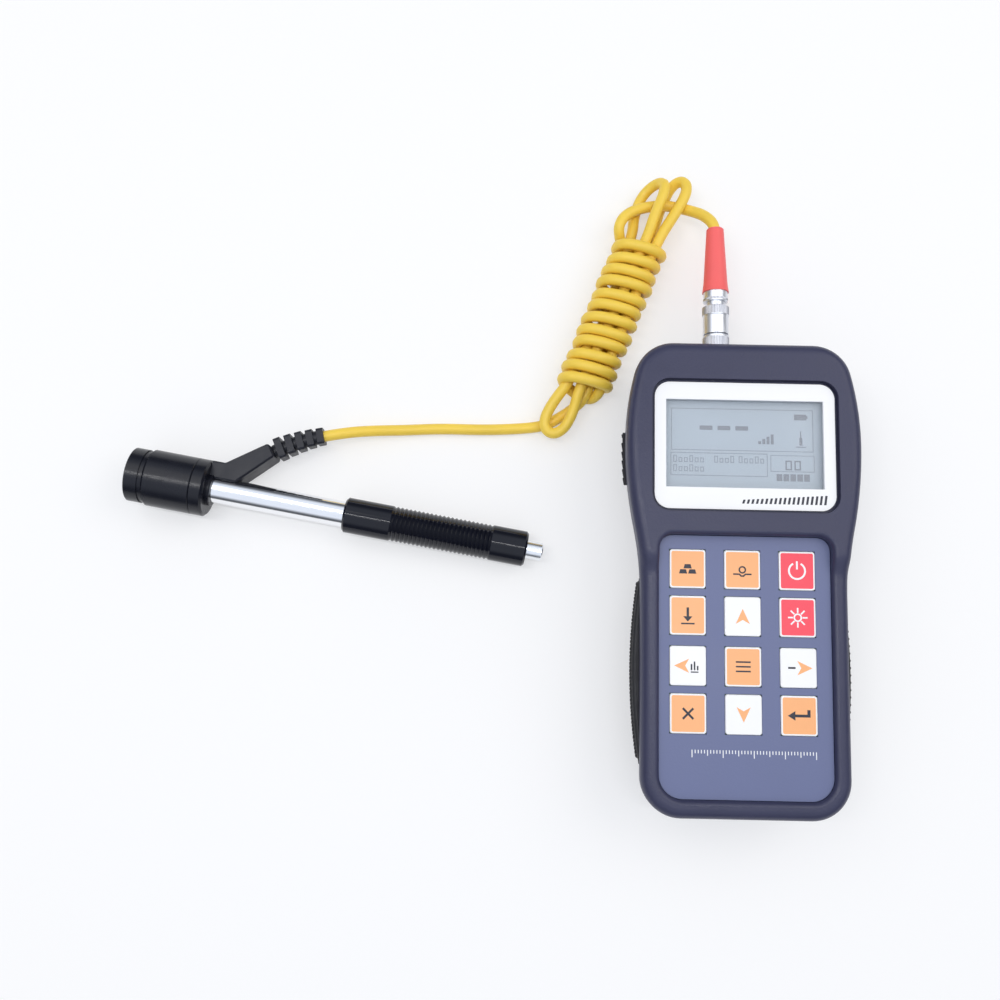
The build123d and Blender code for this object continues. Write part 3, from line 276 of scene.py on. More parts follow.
second_run = [
    in_waist(0.046, 0.0004, 0.0104), in_waist(0.030, 0.0004, 0.0104), in_waist(0.014, -0.0005, 0.0104),
]
foot_loop = [
    (-0.0536, 0.0663, 0.0096), (-0.0549, 0.0606, 0.0076), (-0.0566, 0.0560, 0.0066),
    (-0.0590, 0.0523, 0.0063), (-0.0624, 0.0506, 0.0062), (-0.0654, 0.0524, 0.0062),
    (-0.0656, 0.0562, 0.0064), (-0.0638, 0.0602, 0.0070), (-0.0610, 0.0644, 0.0080),
    (-0.0578, 0.0684, 0.0092),
]
third_run = [
    in_waist(0.014, -0.0042, 0.0088), in_waist(0.030, 0.0000, 0.0078), in_waist(0.046, 0.0022, 0.0066),
]
large_loop = [
    (-0.0272, 0.1260, 0.0055), (-0.0253, 0.1312, 0.0041), (-0.0238, 0.1364, 0.0040),
    (-0.0221, 0.1406, 0.0045), (-0.0203, 0.1442, 0.0057), (-0.0180, 0.1461, 0.0077),
    (-0.0155, 0.1452, 0.0097), (-0.0148, 0.1416, 0.0109), (-0.0170, 0.1364, 0.0114),
    (-0.0209, 0.1298, 0.0115), (-0.0250, 0.1232, 0.0110),
]
fourth_run = [
    in_waist(0.046, 0.0046, 0.0100), in_waist(0.030, 0.0048, 0.0098), in_waist(0.014, 0.0050, 0.0096),
    in_waist(0.004, 0.0056, 0.0084), in_waist(-0.0010, 0.0062, 0.0058), in_waist(-0.0034, 0.0042, 0.0030),
    in_waist(-0.0036, 0.0000, 0.0021), in_waist(-0.0022, -0.0052, 0.0021),
]
wound = []
for step in range(turns * points_per_turn):
    turn = step / points_per_turn
    angle = 2 * pi * turn
    along = waist_length * turn / (turns - 1) + wrap_start + wrap_wander * sin(2.4 * turn)
    across = -wrap_half_width * flattened(cos(angle))
    lean = wrap_lean * across / wrap_half_width
    rise = wrap_half_height * flattened(sin(angle))
    swell = 1 + wrap_swell * sin(1.7 * turn)
    wound.append(in_waist(along + lean, across * swell, wrap_middle + rise))
to_plug = [
    (-0.0392, 0.1249, 0.0076), (-0.0397, 0.1276, 0.0094), (-0.0384, 0.1308, 0.0095),
    (-0.0357, 0.1334, 0.0089), (-0.0320, 0.1352, 0.0083), (-0.0275, 0.1364, 0.0079),
    (-0.0222, 0.1369, 0.0076), (-0.0178, 0.1362, 0.0076), (-0.0137, 0.1345, 0.0092),
    (-0.0095, 0.1316, 0.0126), (-0.0064, 0.1272, 0.0156), (-0.0059, 0.1234, 0.0160),
    (-0.0059, 0.1195, 0.0160),
]
route = to_hank + first_run + small_loop + second_run + foot_loop + third_run + large_loop + fourth_run
route += wound + to_plug
lead_curve = bpy.data.curves.new("lead", "CURVE")
lead_curve.dimensions = "3D"
lead_line = lead_curve.splines.new("NURBS")
lead_line.points.add(len(route) - 1)
for point, place in zip(lead_line.points, route):
    point.co = (*place, 1.0)
lead_line.order_u = 3
lead_line.use_endpoint_u = True
lead_line.resolution_u = 5
lead_curve.bevel_depth = lead_diameter / 2
lead_curve.bevel_resolution = 3
lead_curve.use_fill_caps = True
lead = bpy.data.objects.new("lead", lead_curve)
bpy.context.scene.collection.objects.link(lead)


def new_finish(
    name, colour, roughness, drift=0.05, patch=0.006, grain=0.00002, grain_size=0.0006, sockets=(),
):
    """A finish whose colour and gloss drift a little over the surface, and which has a fine grain."""
    finish = bpy.data.materials.new(name)
    finish.use_nodes = True
    shading = finish.node_tree.nodes
    links = finish.node_tree.links
    skin = shading["Principled BSDF"]
    for socket, value in dict(sockets).items():
        skin.inputs[socket].default_value = value
    place = shading.new("ShaderNodeTexCoord")
    place.name = "place"
    clouds = shading.new("ShaderNodeTexNoise")
    clouds.inputs["Scale"].default_value = 1 / patch
    clouds.inputs["Detail"].default_value = 3
    links.new(place.outputs["Object"], clouds.inputs["Vector"])
    tint = shading.new("ShaderNodeMix")
    tint.name = "tint"
    tint.data_type = "RGBA"
    tint.inputs[6].default_value = (*(part * (1 - drift) for part in colour), 1)
    tint.inputs[7].default_value = (*(min(1, part * (1 + drift)) for part in colour), 1)
    links.new(clouds.outputs["Fac"], tint.inputs[0])
    links.new(tint.outputs[2], skin.inputs["Base Color"])
    gloss = shading.new("ShaderNodeMapRange")
    gloss.name = "gloss"
    gloss.inputs["From Min"].default_value, gloss.inputs["From Max"].default_value = cloud_edges
    gloss.inputs["To Min"].default_value = roughness * (1 - gloss_drift)
    gloss.inputs["To Max"].default_value = roughness * (1 + gloss_drift)
    links.new(clouds.outputs["Fac"], gloss.inputs["Value"])
    links.new(gloss.outputs["Result"], skin.inputs["Roughness"])
    specks = shading.new("ShaderNodeTexNoise")
    specks.inputs["Scale"].default_value = 1 / grain_size
    specks.inputs["Detail"].default_value = 2
    links.new(place.outputs["Object"], specks.inputs["Vector"])
    relief = shading.new("ShaderNodeBump")
    relief.name = "relief"
    relief.inputs["Distance"].default_value = grain
    links.new(specks.outputs["Fac"], relief.inputs["Height"])
    links.new(relief.outputs["Normal"], skin.inputs["Normal"])
    return finish


jacket = new_finish(
    "lead_jacket", lead_yellow, 0.42, drift=0.09, patch=0.012, grain=0.00003, grain_size=0.0012
)
lead_curve.materials.append(jacket)
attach(lead, "tester")
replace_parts(lead, "cord_to_probe", "cord_hank", "cord_to_plug")

# Case: two moulded shells and a sliding battery cover, in dark blue-grey ABS with a fine spark
# texture, held together by four screws from the back.
case_blue = (0.038, 0.040, 0.084)
case_shine = 0.4


def dress(finish, *names):
    """Gives CAD parts their finish."""
    for name in names:
        for slot in nodes[name].material_slots:
            slot.material = finish


case_plastic = new_finish(
    "case_plastic", case_blue, 0.38, drift=0.08, patch=0.010, grain=0.00007, grain_size=0.0008,
    sockets={"Specular IOR Level": case_shine},
)
dress(case_plastic, "front_shell", "back_shell", "battery_cover")

# Side grips: soft black rubber moulded over the waist of the case, with a close diamond pattern
# that gives the hand a hold. Each diamond is a low four-sided stud.
rubber_black = (0.008, 0.008, 0.012)
grip_pitch = 0.0024
stud_radius = 0.0012
stud_height = 0.0009
stud_sink = 0.0001
ray_start = 0.08
least_facing = 0.35


def place_piece(name, mesh, body, slot, *finishes):
    """Turns a finished mesh into a piece with its finishes, and lets a body carry it if one is given.

    A copy of a CAD mesh brings normals that were stored for the CAD, so those are dropped.
    """
    bmesh.ops.recalc_face_normals(mesh, faces=mesh.faces)
    data = bpy.data.meshes.new(name)
    mesh.to_mesh(data)
    mesh.free()
    if "custom_normal" in data.attributes:
        data.attributes.remove(data.attributes["custom_normal"])
    for finish in finishes:
        data.materials.append(finish)
    piece = bpy.data.objects.new(name, data)
    bpy.context.scene.collection.objects.link(piece)
    if body:
        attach(piece, body)
    return piece


def stud_field(name, carrier, side, places, sides, radius, height, tip):
    """Studs that stand on a rubber part, each where a level line from the side meets its skin."""
    skin_mesh = nodes[carrier].data
    skin = BVHTree.FromPolygons(
        [corner.co for corner in skin_mesh.vertices], [face.vertices for face in skin_mesh.polygons]
    )
    mesh = bmesh.new()
    for along, up in places:
        hit, normal, _, _ = skin.ray_cast(Vector((side * ray_start, along, up)), Vector((-side, 0, 0)))
        if hit is None or normal.x * side < least_facing:
            continue
        turn = Vector((0, 0, 1)).rotation_difference(normal).to_matrix().to_4x4()
        middle = hit + normal * (height / 2 - stud_sink)
        bmesh.ops.create_cone(
            mesh, cap_ends=True, segments=sides, radius1=radius, radius2=radius * tip, depth=height,
            matrix=Matrix.Translation(middle) @ turn,
        )
    return place_piece(name, mesh, "tester", "rubber", grip_rubber)


grip_rubber = new_finish(
    "grip_rubber", rubber_black, 0.55, drift=0.2, patch=0.004, grain=0.00005, grain_size=0.0007
)
dress(grip_rubber, "grip_right", "grip_left", "head_pads")
for carrier, side in (("grip_right", 1), ("grip_left", -1)):
    low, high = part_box(carrier)
    rows = int((high[2] - low[2] - 2 * grip_pitch) / (grip_pitch / 2)) + 1
    columns = int((high[1] - low[1] - 2 * grip_pitch) / grip_pitch) + 1
    places = [
        (
            low[1] + grip_pitch * (1 + column + row % 2 / 2),
            low[2] + grip_pitch * (1 + row / 2),
        )
        for row in range(rows)
        for column in range(columns)
    ]
    stud_field(f"{carrier}_diamonds", carrier, side, places, 4, stud_radius, stud_height, 0.3)

# Head pads: thin black rubber strips on the sides of the case, beside the display. Small round dots
# stand on them in rows and give the fingers a hold.
dot_pitch = 0.003
dot_radius = 0.0005
dot_height = 0.00048
dot_margin = 0.75
low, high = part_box("head_pads")
for side_name, side in (("right", 1), ("left", -1)):
    places = [
        (low[1] + dot_pitch * (dot_margin + column), low[2] + dot_pitch * (dot_margin + row))
        for row in range(int((high[2] - low[2]) / dot_pitch))
        for column in range(int((high[1] - low[1]) / dot_pitch))
    ]
    stud_field(f"head_pad_dots_{side_name}", "head_pads", side, places, 8, dot_radius, dot_height, 0.5)

# Display: a dot-matrix module in a tinned frame, behind a clear acrylic window that is glued into
# a white moulded bezel. The marks on the glass and on the bezel are plain generic shapes.
lcd_grey = (0.405, 0.478, 0.552)
segment_grey = (0.17, 0.19, 0.235)
faint_grey = (0.25, 0.29, 0.34)
bezel_white = (0.95, 0.95, 0.955)
print_black = (0.018, 0.02, 0.035)
window_tint = (0.93, 0.96, 1.0)
ink_height = 0.00003
glass_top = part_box("lcd_glass")[1][2]
bezel_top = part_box("display_bezel")[1][2]


def add_plate(mesh, outline, base, centre=(0, 0)):
    """A thin printed shape, from its outline in millimetres round a centre in metres."""
    corners = [mesh.verts.new((centre[0] + x / 1000, centre[1] + y / 1000, base)) for x, y in outline]
    grown = bmesh.ops.extrude_face_region(mesh, geom=[mesh.faces.new(corners)])
    raised = [part for part in grown["geom"] if isinstance(part, bmesh.types.BMVert)]
    bmesh.ops.translate(mesh, vec=(0, 0, ink_height), verts=raised)


def bar(left, low, right, high, slant=0.0):
    """A rectangle, or with a slant a leaning bar."""
    return ((left, low), (right, low), (right + slant, high), (left + slant, high))


def frame_bars(left, low, right, high, line):
    """The four bars of a thin frame."""
    return (
        bar(left, low, right, low + line), bar(left, high - line, right, high),
        bar(left, low + line, left + line, high - line), bar(right - line, low + line, right, high - line),
    )


module_frame = new_finish("module_frame", (0.42, 0.42, 0.43), 0.35, sockets={"Metallic": 1.0})
dress(module_frame, "lcd_frame")
light_guide = new_finish("light_guide", (0.80, 0.84, 0.88), 0.3, drift=0.02)
dress(light_guide, "lcd_light_guide")
lcd_film = new_finish("lcd_film", lcd_grey, 0.30, drift=0.07, patch=0.03, grain=0.000004, grain_size=0.0004)
dress(lcd_film, "lcd_glass")
window = new_finish(
    "window_acrylic", window_tint, 0.06, drift=0.01, grain=0.000001, sockets={"Alpha": 0.10, "IOR": 1.49}
)
dress(window, "display_lens")
bezel_plastic = new_finish("bezel_plastic", bezel_white, 0.32, drift=0.01, grain=0.000008)
dress(bezel_plastic, "display_bezel")

segment_ink = new_finish("segment_ink", segment_grey, 0.5, drift=0.15, patch=0.003)
faint_ink = new_finish("faint_ink", faint_grey, 0.5, drift=0.2, patch=0.003)
black_ink = new_finish("black_ink", print_black, 0.45, drift=0.1, patch=0.002)
reading = [bar(left, 48.7, left + 4.3, 50.2) for left in (-14.4, -8.4, -2.4)]
reading += [bar(5.2 + 1.4 * step, 44.2, 6.2 + 1.4 * step, 45.2 + 0.8 * step) for step in range(4)]
reading += [bar(19.0, 44.0, 20.0, 46.6), bar(19.3, 46.6, 19.7, 48.8), bar(17.8, 43.3, 21.2, 43.6)]
reading += [bar(17.3, 52.6, 21.4, 54.6), bar(21.4, 53.1, 21.9, 54.1)]
reading += frame_bars(14.2, 35.5, 16.4, 38.8, 0.5) + frame_bars(17.2, 35.5, 19.4, 38.8, 0.5)
reading += [bar(11.2 + 2.3 * step, 31.8, 13.1 + 2.3 * step, 34.2) for step in range(5)]
fine_marks = list(frame_bars(-24.0, 41.7, 23.7, 56.1, 0.3))
fine_marks += frame_bars(-24.2, 33.1, 8.3, 41.0, 0.3) + frame_bars(9.2, 34.9, 24.0, 40.6, 0.3)
for left, low, cells in ((-23.3, 37.6, 6), (-9.6, 37.6, 4), (-1.4, 37.6, 5), (-23.3, 34.5, 6)):
    for cell in range(cells):
        edge = left + 1.8 * cell
        fine_marks += frame_bars(edge, low, edge + 1.3, low + (2.4 if cell % 3 == 0 else 1.7), 0.35)
for name, outlines, finish in (("reading", reading, segment_ink), ("reading_frames", fine_marks, faint_ink)):
    mesh = bmesh.new()
    for outline in outlines:
        add_plate(mesh, outline, glass_top)
    place_piece(name, mesh, "tester", "lcd", finish)
mesh = bmesh.new()
for step in range(19):
    left = -1.2 + 1.5 * step
    add_plate(mesh, bar(left, 23.6, left + 0.75, 24.9 + 0.1 * step, slant=0.45), bezel_top)
place_piece("bezel_wedge_print", mesh, "tester", "housing", black_ink)

# Keypad: a slate-blue printed polyester film over a contact board with twelve snap domes. The film
# has a matt texture and a white ruler along its foot.
film_blue = (0.136, 0.160, 0.300)
print_white = (0.95, 0.95, 0.96)
film_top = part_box("keypad_overlay")[1][2]
keypad_film = new_finish(
    "keypad_film", film_blue, 0.42, drift=0.06, patch=0.015, grain=0.00004, grain_size=0.0007
)
dress(keypad_film, "keypad_overlay")
board_lacquer = new_finish("board_lacquer", (0.02, 0.11, 0.05), 0.35, drift=0.25, patch=0.003)
dress(board_lacquer, "keypad_circuit", "main_board")
dome_steel = new_finish("dome_steel", (0.72, 0.71, 0.68), 0.25, sockets={"Metallic": 1.0})
dress(dome_steel, "snap_domes")
white_ink = new_finish("white_ink", print_white, 0.4, drift=0.02, patch=0.002)
mesh = bmesh.new()
for step in range(41):
    left = -17.6 + step
    tall = 2.4 if step % 10 == 0 else 1.8 if step % 5 == 0 else 1.1
    add_plate(mesh, bar(left, -56.2 - tall, left + 0.28, -56.2), film_top)
place_piece("film_ruler_print", mesh, "tester", "key_white", white_ink)

# Keys: twelve silicone-backed keycaps in orange, red and white, each with a white rim and a printed
# sign. Each is pressed on its own dome.
key_orange = (0.985, 0.465, 0.20)
key_red = (0.965, 0.072, 0.112)
key_white = (0.95, 0.95, 0.955)
rim_width = 0.00055
corner_radius = 0.0006
ring_steps = 28
key_colours = {
    "key_material": key_orange, "key_hardness": key_orange, "key_power": key_red,
    "key_direction": key_orange, "key_up": key_white, "key_backlight": key_red,
    "key_average": key_white, "key_menu": key_orange, "key_delete": key_white,
    "key_escape": key_orange, "key_down": key_white, "key_enter": key_orange,
}


def turned(outline, degrees):
    """An outline turned about its centre."""
    angle = radians(degrees)
    return tuple((x * cos(angle) - y * sin(angle), x * sin(angle) + y * cos(angle)) for x, y in outline)


def moved(outline, right, up):
    """An outline moved in its plane."""
    return tuple((x + right, y + up) for x, y in outline)


def add_ring(mesh, centre, radius, line, base, start=0.0, sweep=360.0):
    """A printed ring or arc, spun from one short edge."""
    middle = Vector((*centre, base))
    first = Vector((cos(radians(start)), sin(radians(start)), 0)) / 1000
    ends = [mesh.verts.new(middle + first * reach) for reach in (radius - line / 2, radius + line / 2)]
    edge = mesh.edges.new(ends)
    before = set(mesh.faces)
    bmesh.ops.spin(
        mesh, geom=[*ends, edge], cent=middle, axis=(0, 0, 1), dvec=(0, 0, 0), angle=radians(sweep),
        steps=ring_steps, use_merge=sweep == 360.0,
    )
    strip = [face for face in mesh.faces if face not in before]
    grown = bmesh.ops.extrude_face_region(mesh, geom=strip)
    raised = [part for part in grown["geom"] if isinstance(part, bmesh.types.BMVert)]
    bmesh.ops.translate(mesh, vec=(0, 0, ink_height), verts=raised)


def rimmed(name, centre, half_size, colour):
    """A key's finish: its colour inside a white rim with rounded inner corners."""
    finish = new_finish(name, colour, 0.34, drift=0.02, patch=0.004, grain=0.000008)
    shading = finish.node_tree.nodes
    links = finish.node_tree.links
    centred = shading.new("ShaderNodeMapping")
    centred.inputs["Location"].default_value = (-centre[0], -centre[1], 0)
    centred.inputs["Scale"].default_value = (1, 1, 0)
    links.new(shading["place"].outputs["Object"], centred.inputs["Vector"])
    last = centred.outputs["Vector"]
    inner = [size - rim_width - corner_radius for size in half_size]
    for operation, operand in (("ABSOLUTE", None), ("SUBTRACT", (*inner, 0)), ("MAXIMUM", (0, 0, 0))):
        node = shading.new("ShaderNodeVectorMath")
        node.operation = operation
        if operand:
            node.inputs[1].default_value = operand
        links.new(last, node.inputs[0])
        last = node.outputs["Vector"]
    reach = shading.new("ShaderNodeVectorMath")
    reach.operation = "LENGTH"
    links.new(last, reach.inputs[0])
    outside = shading.new("ShaderNodeMath")
    outside.operation = "GREATER_THAN"
    outside.inputs[1].default_value = corner_radius
    links.new(reach.outputs["Value"], outside.inputs[0])
    rim = shading.new("ShaderNodeMix")
    rim.data_type = "RGBA"
    rim.inputs[7].default_value = (*key_white, 1)
    links.new(outside.outputs[0], rim.inputs[0])
    links.new(shading["tint"].outputs[2], rim.inputs[6])
    links.new(rim.outputs[2], shading["Principled BSDF"].inputs["Base Color"])
    return finish


dart = ((0, 2.5), (-2.3, -2.4), (0, -1.1), (2.3, -2.4))
ingot = ((-1.35, -0.7), (1.35, -0.7), (0.95, 0.7), (-0.95, 0.7))
arrow = ((0, -2.0), (1.5, -0.3), (0.4, -0.3), (0.4, 2.6), (-0.4, 2.6), (-0.4, -0.3), (-1.5, -0.3))
dented_line = (
    (-3, -1.7), (-1.1, -1.7), (-0.5, -2.3), (0.5, -2.3), (1.1, -1.7), (3, -1.7),
    (3, -1.2), (0.9, -1.2), (0.3, -1.8), (-0.3, -1.8), (-0.9, -1.2), (-3, -1.2),
)
plus_sign = (
    (0.35, 0.35), (0.35, 2.4), (-0.35, 2.4), (-0.35, 0.35), (-2.4, 0.35), (-2.4, -0.35),
    (-0.35, -0.35), (-0.35, -2.4), (0.35, -2.4), (0.35, -0.35), (2.4, -0.35), (2.4, 0.35),
)
return_arrow = (
    (-3.7, 0), (-1.3, 1.5), (-1.3, 0.45), (2.6, 0.45), (2.6, 1.9), (3.6, 1.9),
    (3.6, -0.45), (-1.3, -0.45), (-1.3, -1.5),
)
orange_ink = new_finish("orange_ink", key_orange, 0.4, drift=0.03, patch=0.002)
key_prints = (
    (
        "key_material", "sign", black_ink,
        [moved(ingot, -1.5, -0.9), moved(ingot, 1.5, -0.9), moved(ingot, 0, 0.8)], [],
    ),
    ("key_hardness", "sign", black_ink, [dented_line], [(1.0, 0.5, 0, 360)]),
    ("key_power", "sign", white_ink, [bar(-0.3, 0.5, 0.3, 3.2)], [(2.65, 0.62, 118, 304)]),
    ("key_direction", "sign", black_ink, [arrow, bar(-2.2, -2.9, 2.2, -2.4)], []),
    ("key_up", "dart", orange_ink, [dart], []),
    (
        "key_backlight", "sign", white_ink,
        [turned(bar(-0.25, 1.55, 0.25, 3.2), 45 * ray) for ray in range(8)], [(1.15, 0.5, 0, 360)],
    ),
    ("key_average", "dart", orange_ink, [moved(turned(dart, 90), -2.0, 0)], []),
    (
        "key_average", "sign", black_ink,
        [
            bar(0.9, -1.4, 1.4, 0.6), bar(1.9, -1.4, 2.4, 1.4), bar(2.9, -1.4, 3.4, 0.0),
            bar(0.9, -2.2, 3.4, -1.8),
        ],
        [],
    ),
    (
        "key_menu", "sign", black_ink,
        [bar(-2.4, 1.3 - 1.5 * row, 2.4, 1.8 - 1.5 * row) for row in range(3)], [],
    ),
    ("key_delete", "dart", orange_ink, [moved(turned(dart, -90), 2.0, 0)], []),
    ("key_delete", "sign", black_ink, [bar(-3.4, -0.3, -1.0, 0.3)], []),
    ("key_escape", "sign", black_ink, [turned(plus_sign, 45)], []),
    ("key_down", "dart", orange_ink, [turned(dart, 180)], []),
    ("key_enter", "sign", black_ink, [return_arrow], []),
)
for name, colour in key_colours.items():
    low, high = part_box(name)
    half_size = [(high[side] - low[side]) / 2 for side in (0, 1)]
    dress(rimmed(f"{name}_cap", [(high[side] + low[side]) / 2 for side in (0, 1)], half_size, colour), name)
print_slots = {"black_ink": "housing", "white_ink": "key_white", "orange_ink": "key_orange"}
for name, kind, ink, outlines, rings in key_prints:
    low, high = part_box(name)
    centre = [(high[side] + low[side]) / 2 for side in (0, 1)]
    mesh = bmesh.new()
    for outline in outlines:
        add_plate(mesh, outline, high[2], centre)
    for radius, line, start, sweep in rings:
        add_ring(mesh, centre, radius, line, high[2], start, sweep)
    place_piece(f"{name}_{kind}", mesh, name, print_slots[ink.name], ink)

# Electronics and fixings: the board with its parts, two cells on nickel springs, and the steel
# screws of the case.
chip_epoxy = new_finish("chip_epoxy", (0.02, 0.02, 0.022), 0.5, drift=0.3, patch=0.002)
dress(chip_epoxy, "board_components")
cell_wrap = new_finish(
    "cell_wrap", (0.10, 0.13, 0.17), 0.28, drift=0.1, patch=0.01, sockets={"Metallic": 0.5}
)
dress(cell_wrap, "battery_cells")
contact_nickel = new_finish("contact_nickel", (0.78, 0.74, 0.62), 0.22, sockets={"Metallic": 1.0})
dress(contact_nickel, "battery_contacts", "plug_pins")
screw_steel = new_finish(
    "screw_steel", (0.33, 0.33, 0.34), 0.3, drift=0.1, patch=0.002, sockets={"Metallic": 1.0}
)
dress(screw_steel, "case_screws")

# Socket and plug: turned brass with satin nickel. The nut and the locking sleeve are knurled for
# the fingers, and the sleeve slides back to unlock.
nickel = (0.80, 0.82, 0.87)
knurled_nickel = (0.56, 0.57, 0.62)
plug_axis = (0, 1, 0)
knurl_ridges = 56
knurl_depth = 0.00009
knurl_sink = 0.00002
lip_drop = 0.0002
lip_length = 0.00012
knurl_bands = (
    ("socket_nut", "tester", 0.0781, 0.0842, 0.00455),
    ("plug_locking_sleeve", "plug_locking_sleeve", 0.0925, 0.0954, 0.0046),
    ("plug_collet_nut", "tester", 0.0978, 0.0985, 0.00425),
)
plug_centre = (-0.0059, 0.016)


def add_lathe_rings(finish, axis, pitch, depth):
    """Fine rings square to an axis, as a lathe leaves them."""
    shading = finish.node_tree.nodes
    links = finish.node_tree.links
    along = shading.new("ShaderNodeVectorMath")
    along.operation = "DOT_PRODUCT"
    along.inputs[1].default_value = axis
    links.new(shading["place"].outputs["Object"], along.inputs[0])
    rings = shading.new("ShaderNodeTexNoise")
    rings.noise_dimensions = "1D"
    rings.inputs["Scale"].default_value = 1 / pitch
    rings.inputs["Detail"].default_value = 2
    links.new(along.outputs["Value"], rings.inputs["W"])
    cut = shading.new("ShaderNodeBump")
    cut.inputs["Distance"].default_value = depth
    links.new(rings.outputs["Fac"], cut.inputs["Height"])
    links.new(shading["relief"].outputs["Normal"], cut.inputs["Normal"])
    links.new(cut.outputs["Normal"], shading["Principled BSDF"].inputs["Normal"])


plug_nickel = new_finish("plug_nickel", nickel, 0.40, drift=0.03, sockets={"Metallic": 1.0})
add_lathe_rings(plug_nickel, plug_axis, 0.0004, 0.000006)
dress(plug_nickel, "socket_shell", "socket_nut", "plug_body", "plug_locking_sleeve", "plug_collet_nut")
knurl_nickel = new_finish("knurl_nickel", knurled_nickel, 0.42, drift=0.05, sockets={"Metallic": 1.0})
for name, body, low, high, radius in knurl_bands:
    mesh = bmesh.new()
    start = bmesh.ops.create_circle(
        mesh, segments=2 * knurl_ridges, radius=radius,
        matrix=Matrix.Translation((plug_centre[0], low, plug_centre[1])) @ Matrix.Rotation(pi / 2, 4, "X"),
    )["verts"]
    spokes = Vector((plug_centre[0], low, plug_centre[1]))
    for index, corner in enumerate(start):
        reach = radius + (knurl_depth if index % 2 else -knurl_sink)
        corner.co = spokes + (corner.co - spokes).normalized() * reach
    grown = bmesh.ops.extrude_edge_only(mesh, edges=mesh.edges[:])
    raised = [part for part in grown["geom"] if isinstance(part, bmesh.types.BMVert)]
    bmesh.ops.translate(mesh, vec=(0, high - low, 0), verts=raised)
    for ring, outward in ((raised, 1), (start, -1)):
        rim = [edge for edge in mesh.edges if edge.verts[0] in ring and edge.verts[1] in ring]
        lip = bmesh.ops.extrude_edge_only(mesh, edges=rim)
        for part in lip["geom"]:
            if isinstance(part, bmesh.types.BMVert):
                middle = Vector((plug_centre[0], part.co.y, plug_centre[1]))
                part.co = middle + (part.co - middle).normalized() * (radius - lip_drop)
                part.co.y += outward * lip_length
    place_piece(f"{name}_knurl", mesh, body, "plug_metal", knurl_nickel)

# Boot: a soft coral-red silicone sleeve that tapers from the plug to the lead, and keeps the lead
# from a sharp bend where it leaves the plug.
boot_red = (0.97, 0.14, 0.135)
boot_silicone = new_finish(
    "boot_silicone", boot_red, 0.46, drift=0.04, patch=0.008, grain=0.00002, grain_size=0.0008
)
dress(boot_silicone, "plug_boot")

# Impact device, black parts: support ring, coil housing, cap, loading sleeve and end cap are turned
# from aluminium and anodised black. The sleeve is glossier where the hand has polished it.
anodised_black = (0.006, 0.007, 0.013)
black_shine = 0.35
probe_axis = (0.98575, -0.16496, -0.03296)
anodised = new_finish(
    "anodised", anodised_black, 0.26, drift=0.2, patch=0.008, grain=0.000006,
    sockets={"Specular IOR Level": black_shine},
)
add_lathe_rings(anodised, probe_axis, 0.0005, 0.000008)
dress(anodised, "support_ring", "coil_housing", "housing_cap")
polished_black = new_finish(
    "polished_black", anodised_black, 0.11, drift=0.2, patch=0.008, grain=0.000001,
    sockets={"Specular IOR Level": black_shine},
)
add_lathe_rings(polished_black, probe_axis, 0.0006, 0.000002)
dress(polished_black, "loading_sleeve")

# Guide tube and release button: hard-chromed steel with a polished skin and faint turning rings.
# The loading sleeve slides on the tube, and the button runs in the sleeve's end cap.
chrome_grey = (0.90, 0.91, 0.93)
chrome = new_finish("chrome", chrome_grey, 0.10, drift=0.02, grain=0.0000015, sockets={"Metallic": 1.0})
add_lathe_rings(chrome, probe_axis, 0.0008, 0.000002)
dress(chrome, "guide_tube")
button_steel = new_finish("button_steel", (0.90, 0.92, 0.95), 0.25, drift=0.04, sockets={"Metallic": 1.0})
add_lathe_rings(button_steel, probe_axis, 0.0003, 0.000006)

# Release button and end cap: copies of the CAD parts, with the button and the hole that it runs in
# let out to the width that the photograph shows. Outer and inmost radii stay.
axis_point = Vector((-0.210105, 0.032317, 0.010865))
button_growth = 0.0008
grown_radii = (0.0018, 0.0036)
sharp_angle = radians(30)
same_point = 0.000001


def merged_copy(name):
    """A copy of a CAD mesh with its joins merged, shaded smooth between its sharp edges."""
    mesh = bmesh.new()
    mesh.from_mesh(nodes[name].data)
    bmesh.ops.remove_doubles(mesh, verts=mesh.verts, dist=same_point)
    for face in mesh.faces:
        face.smooth = True
    for edge in mesh.edges:
        edge.smooth = edge.calc_face_angle(0) < sharp_angle
    return mesh


def let_out(name, body, slot, finish):
    """A copy of a CAD part turned about the probe axis, with its middle radii made larger."""
    mesh = merged_copy(name)
    axis = Vector(probe_axis).normalized()
    for corner in mesh.verts:
        foot = axis_point + axis * (corner.co - axis_point).dot(axis)
        spoke = corner.co - foot
        if grown_radii[0] < spoke.length < grown_radii[1]:
            corner.co = foot + spoke * (1 + button_growth / spoke.length)
    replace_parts(place_piece(f"{name}_wide", mesh, body, slot, finish), name)


let_out("release_button", "release_button", "tube_metal", button_steel)
let_out("sleeve_end_cap", "loading_sleeve", "black_metal", polished_black)

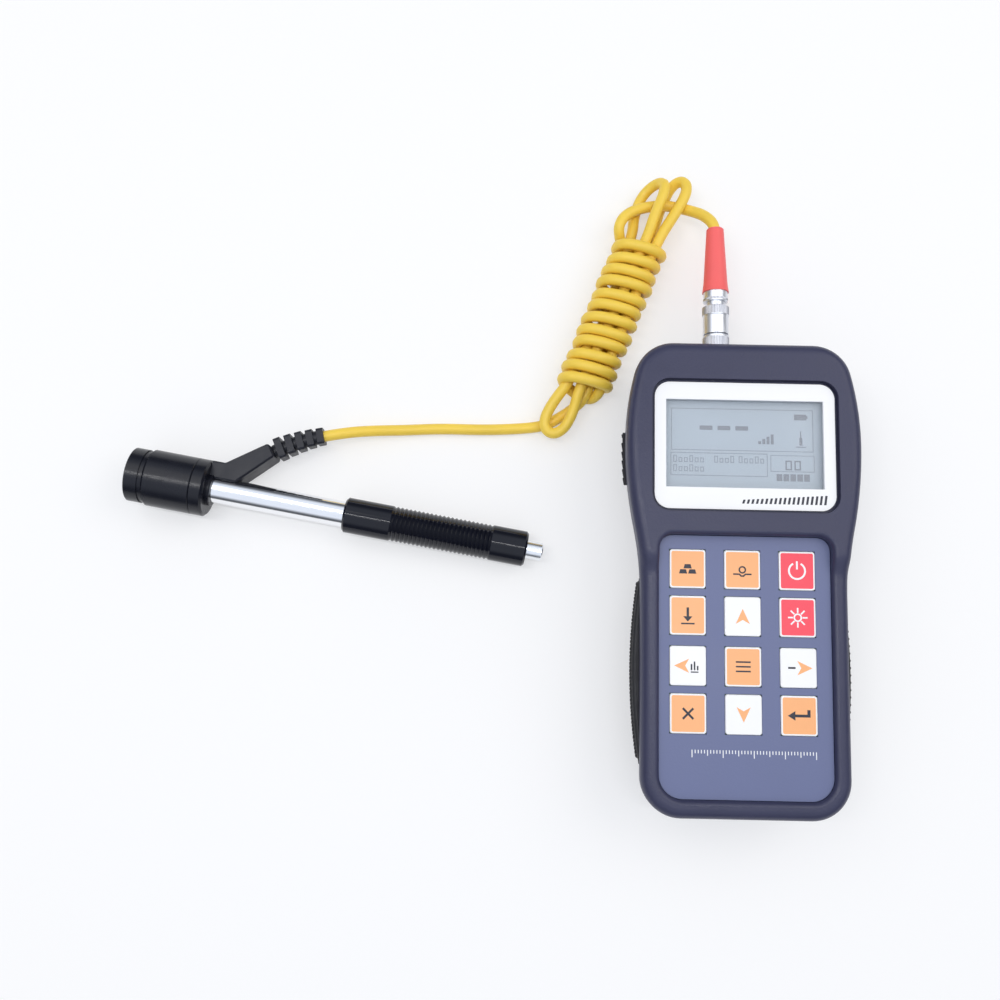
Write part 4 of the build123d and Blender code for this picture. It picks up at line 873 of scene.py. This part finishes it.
# Inside the device: coil on a nylon bobbin, brass bush, and impact body with its carbide ball, with
# the chuck and its rod, of tool steel.
bobbin_nylon = new_finish("bobbin_nylon", (0.78, 0.76, 0.70), 0.45, drift=0.05)
dress(bobbin_nylon, "coil_bobbin")
copper_wire = new_finish("copper_wire", (0.75, 0.28, 0.11), 0.3, drift=0.12, sockets={"Metallic": 1.0})
add_lathe_rings(copper_wire, probe_axis, 0.0002, 0.00004)
dress(copper_wire, "coil_winding")
bush_brass = new_finish("bush_brass", (0.78, 0.57, 0.25), 0.28, drift=0.08, sockets={"Metallic": 1.0})
dress(bush_brass, "tube_bush")
ball_carbide = new_finish("ball_carbide", (0.42, 0.42, 0.43), 0.12, drift=0.03, sockets={"Metallic": 1.0})
dress(ball_carbide, "test_ball")
tool_steel = new_finish(
    "tool_steel", (0.56, 0.56, 0.57), 0.27, drift=0.08, patch=0.003, sockets={"Metallic": 1.0}
)
add_lathe_rings(tool_steel, probe_axis, 0.0004, 0.000005)
dress(tool_steel, "impact_body", "catch_chuck", "chuck_rod")

# Springs: three coils of the same steel, each a merged copy of its CAD coil. The loading and button springs
# get meshes of their own, and the impact spring is baked where it stands.
sleeve_travel = 0.034
button_travel = 0.0025


def add_spring(name, body):
    """A merged copy of a CAD spring that takes its place, with its two ends on the probe axis."""
    mesh = merged_copy(name)
    axis = Vector(probe_axis).normalized()
    middle = sum((corner.co for corner in mesh.verts), Vector()) / len(mesh.verts)
    reach = [(corner.co - middle).dot(axis) for corner in mesh.verts]
    spring = place_piece(f"{name}_coil", mesh, body, "inner_steel", tool_steel)
    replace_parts(spring, name)
    return spring, middle + axis * min(reach), middle + axis * max(reach)


for name, body, joint, travel in (
    ("loading_spring", "tester", "sleeve_load", sleeve_travel),
    ("button_spring", "loading_sleeve", "button_press", button_travel),
):
    spring, foot, head = add_spring(name, body)
    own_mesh(spring)
spring, foot, head = add_spring("impact_spring", None)
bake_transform(spring)

# Side connector: a moulded black arm seated on the tube, the collar and the housing cap, with a
# ribbed strain relief where the lead leaves the device.
connector_black = (0.009, 0.010, 0.017)
connector_vinyl = new_finish(
    "connector_vinyl", connector_black, 0.42, drift=0.15, patch=0.004, grain=0.00003, grain_size=0.0006,
    sockets={"Specular IOR Level": black_shine},
)
dress(connector_vinyl, "side_connector", "strain_relief")

low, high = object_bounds()
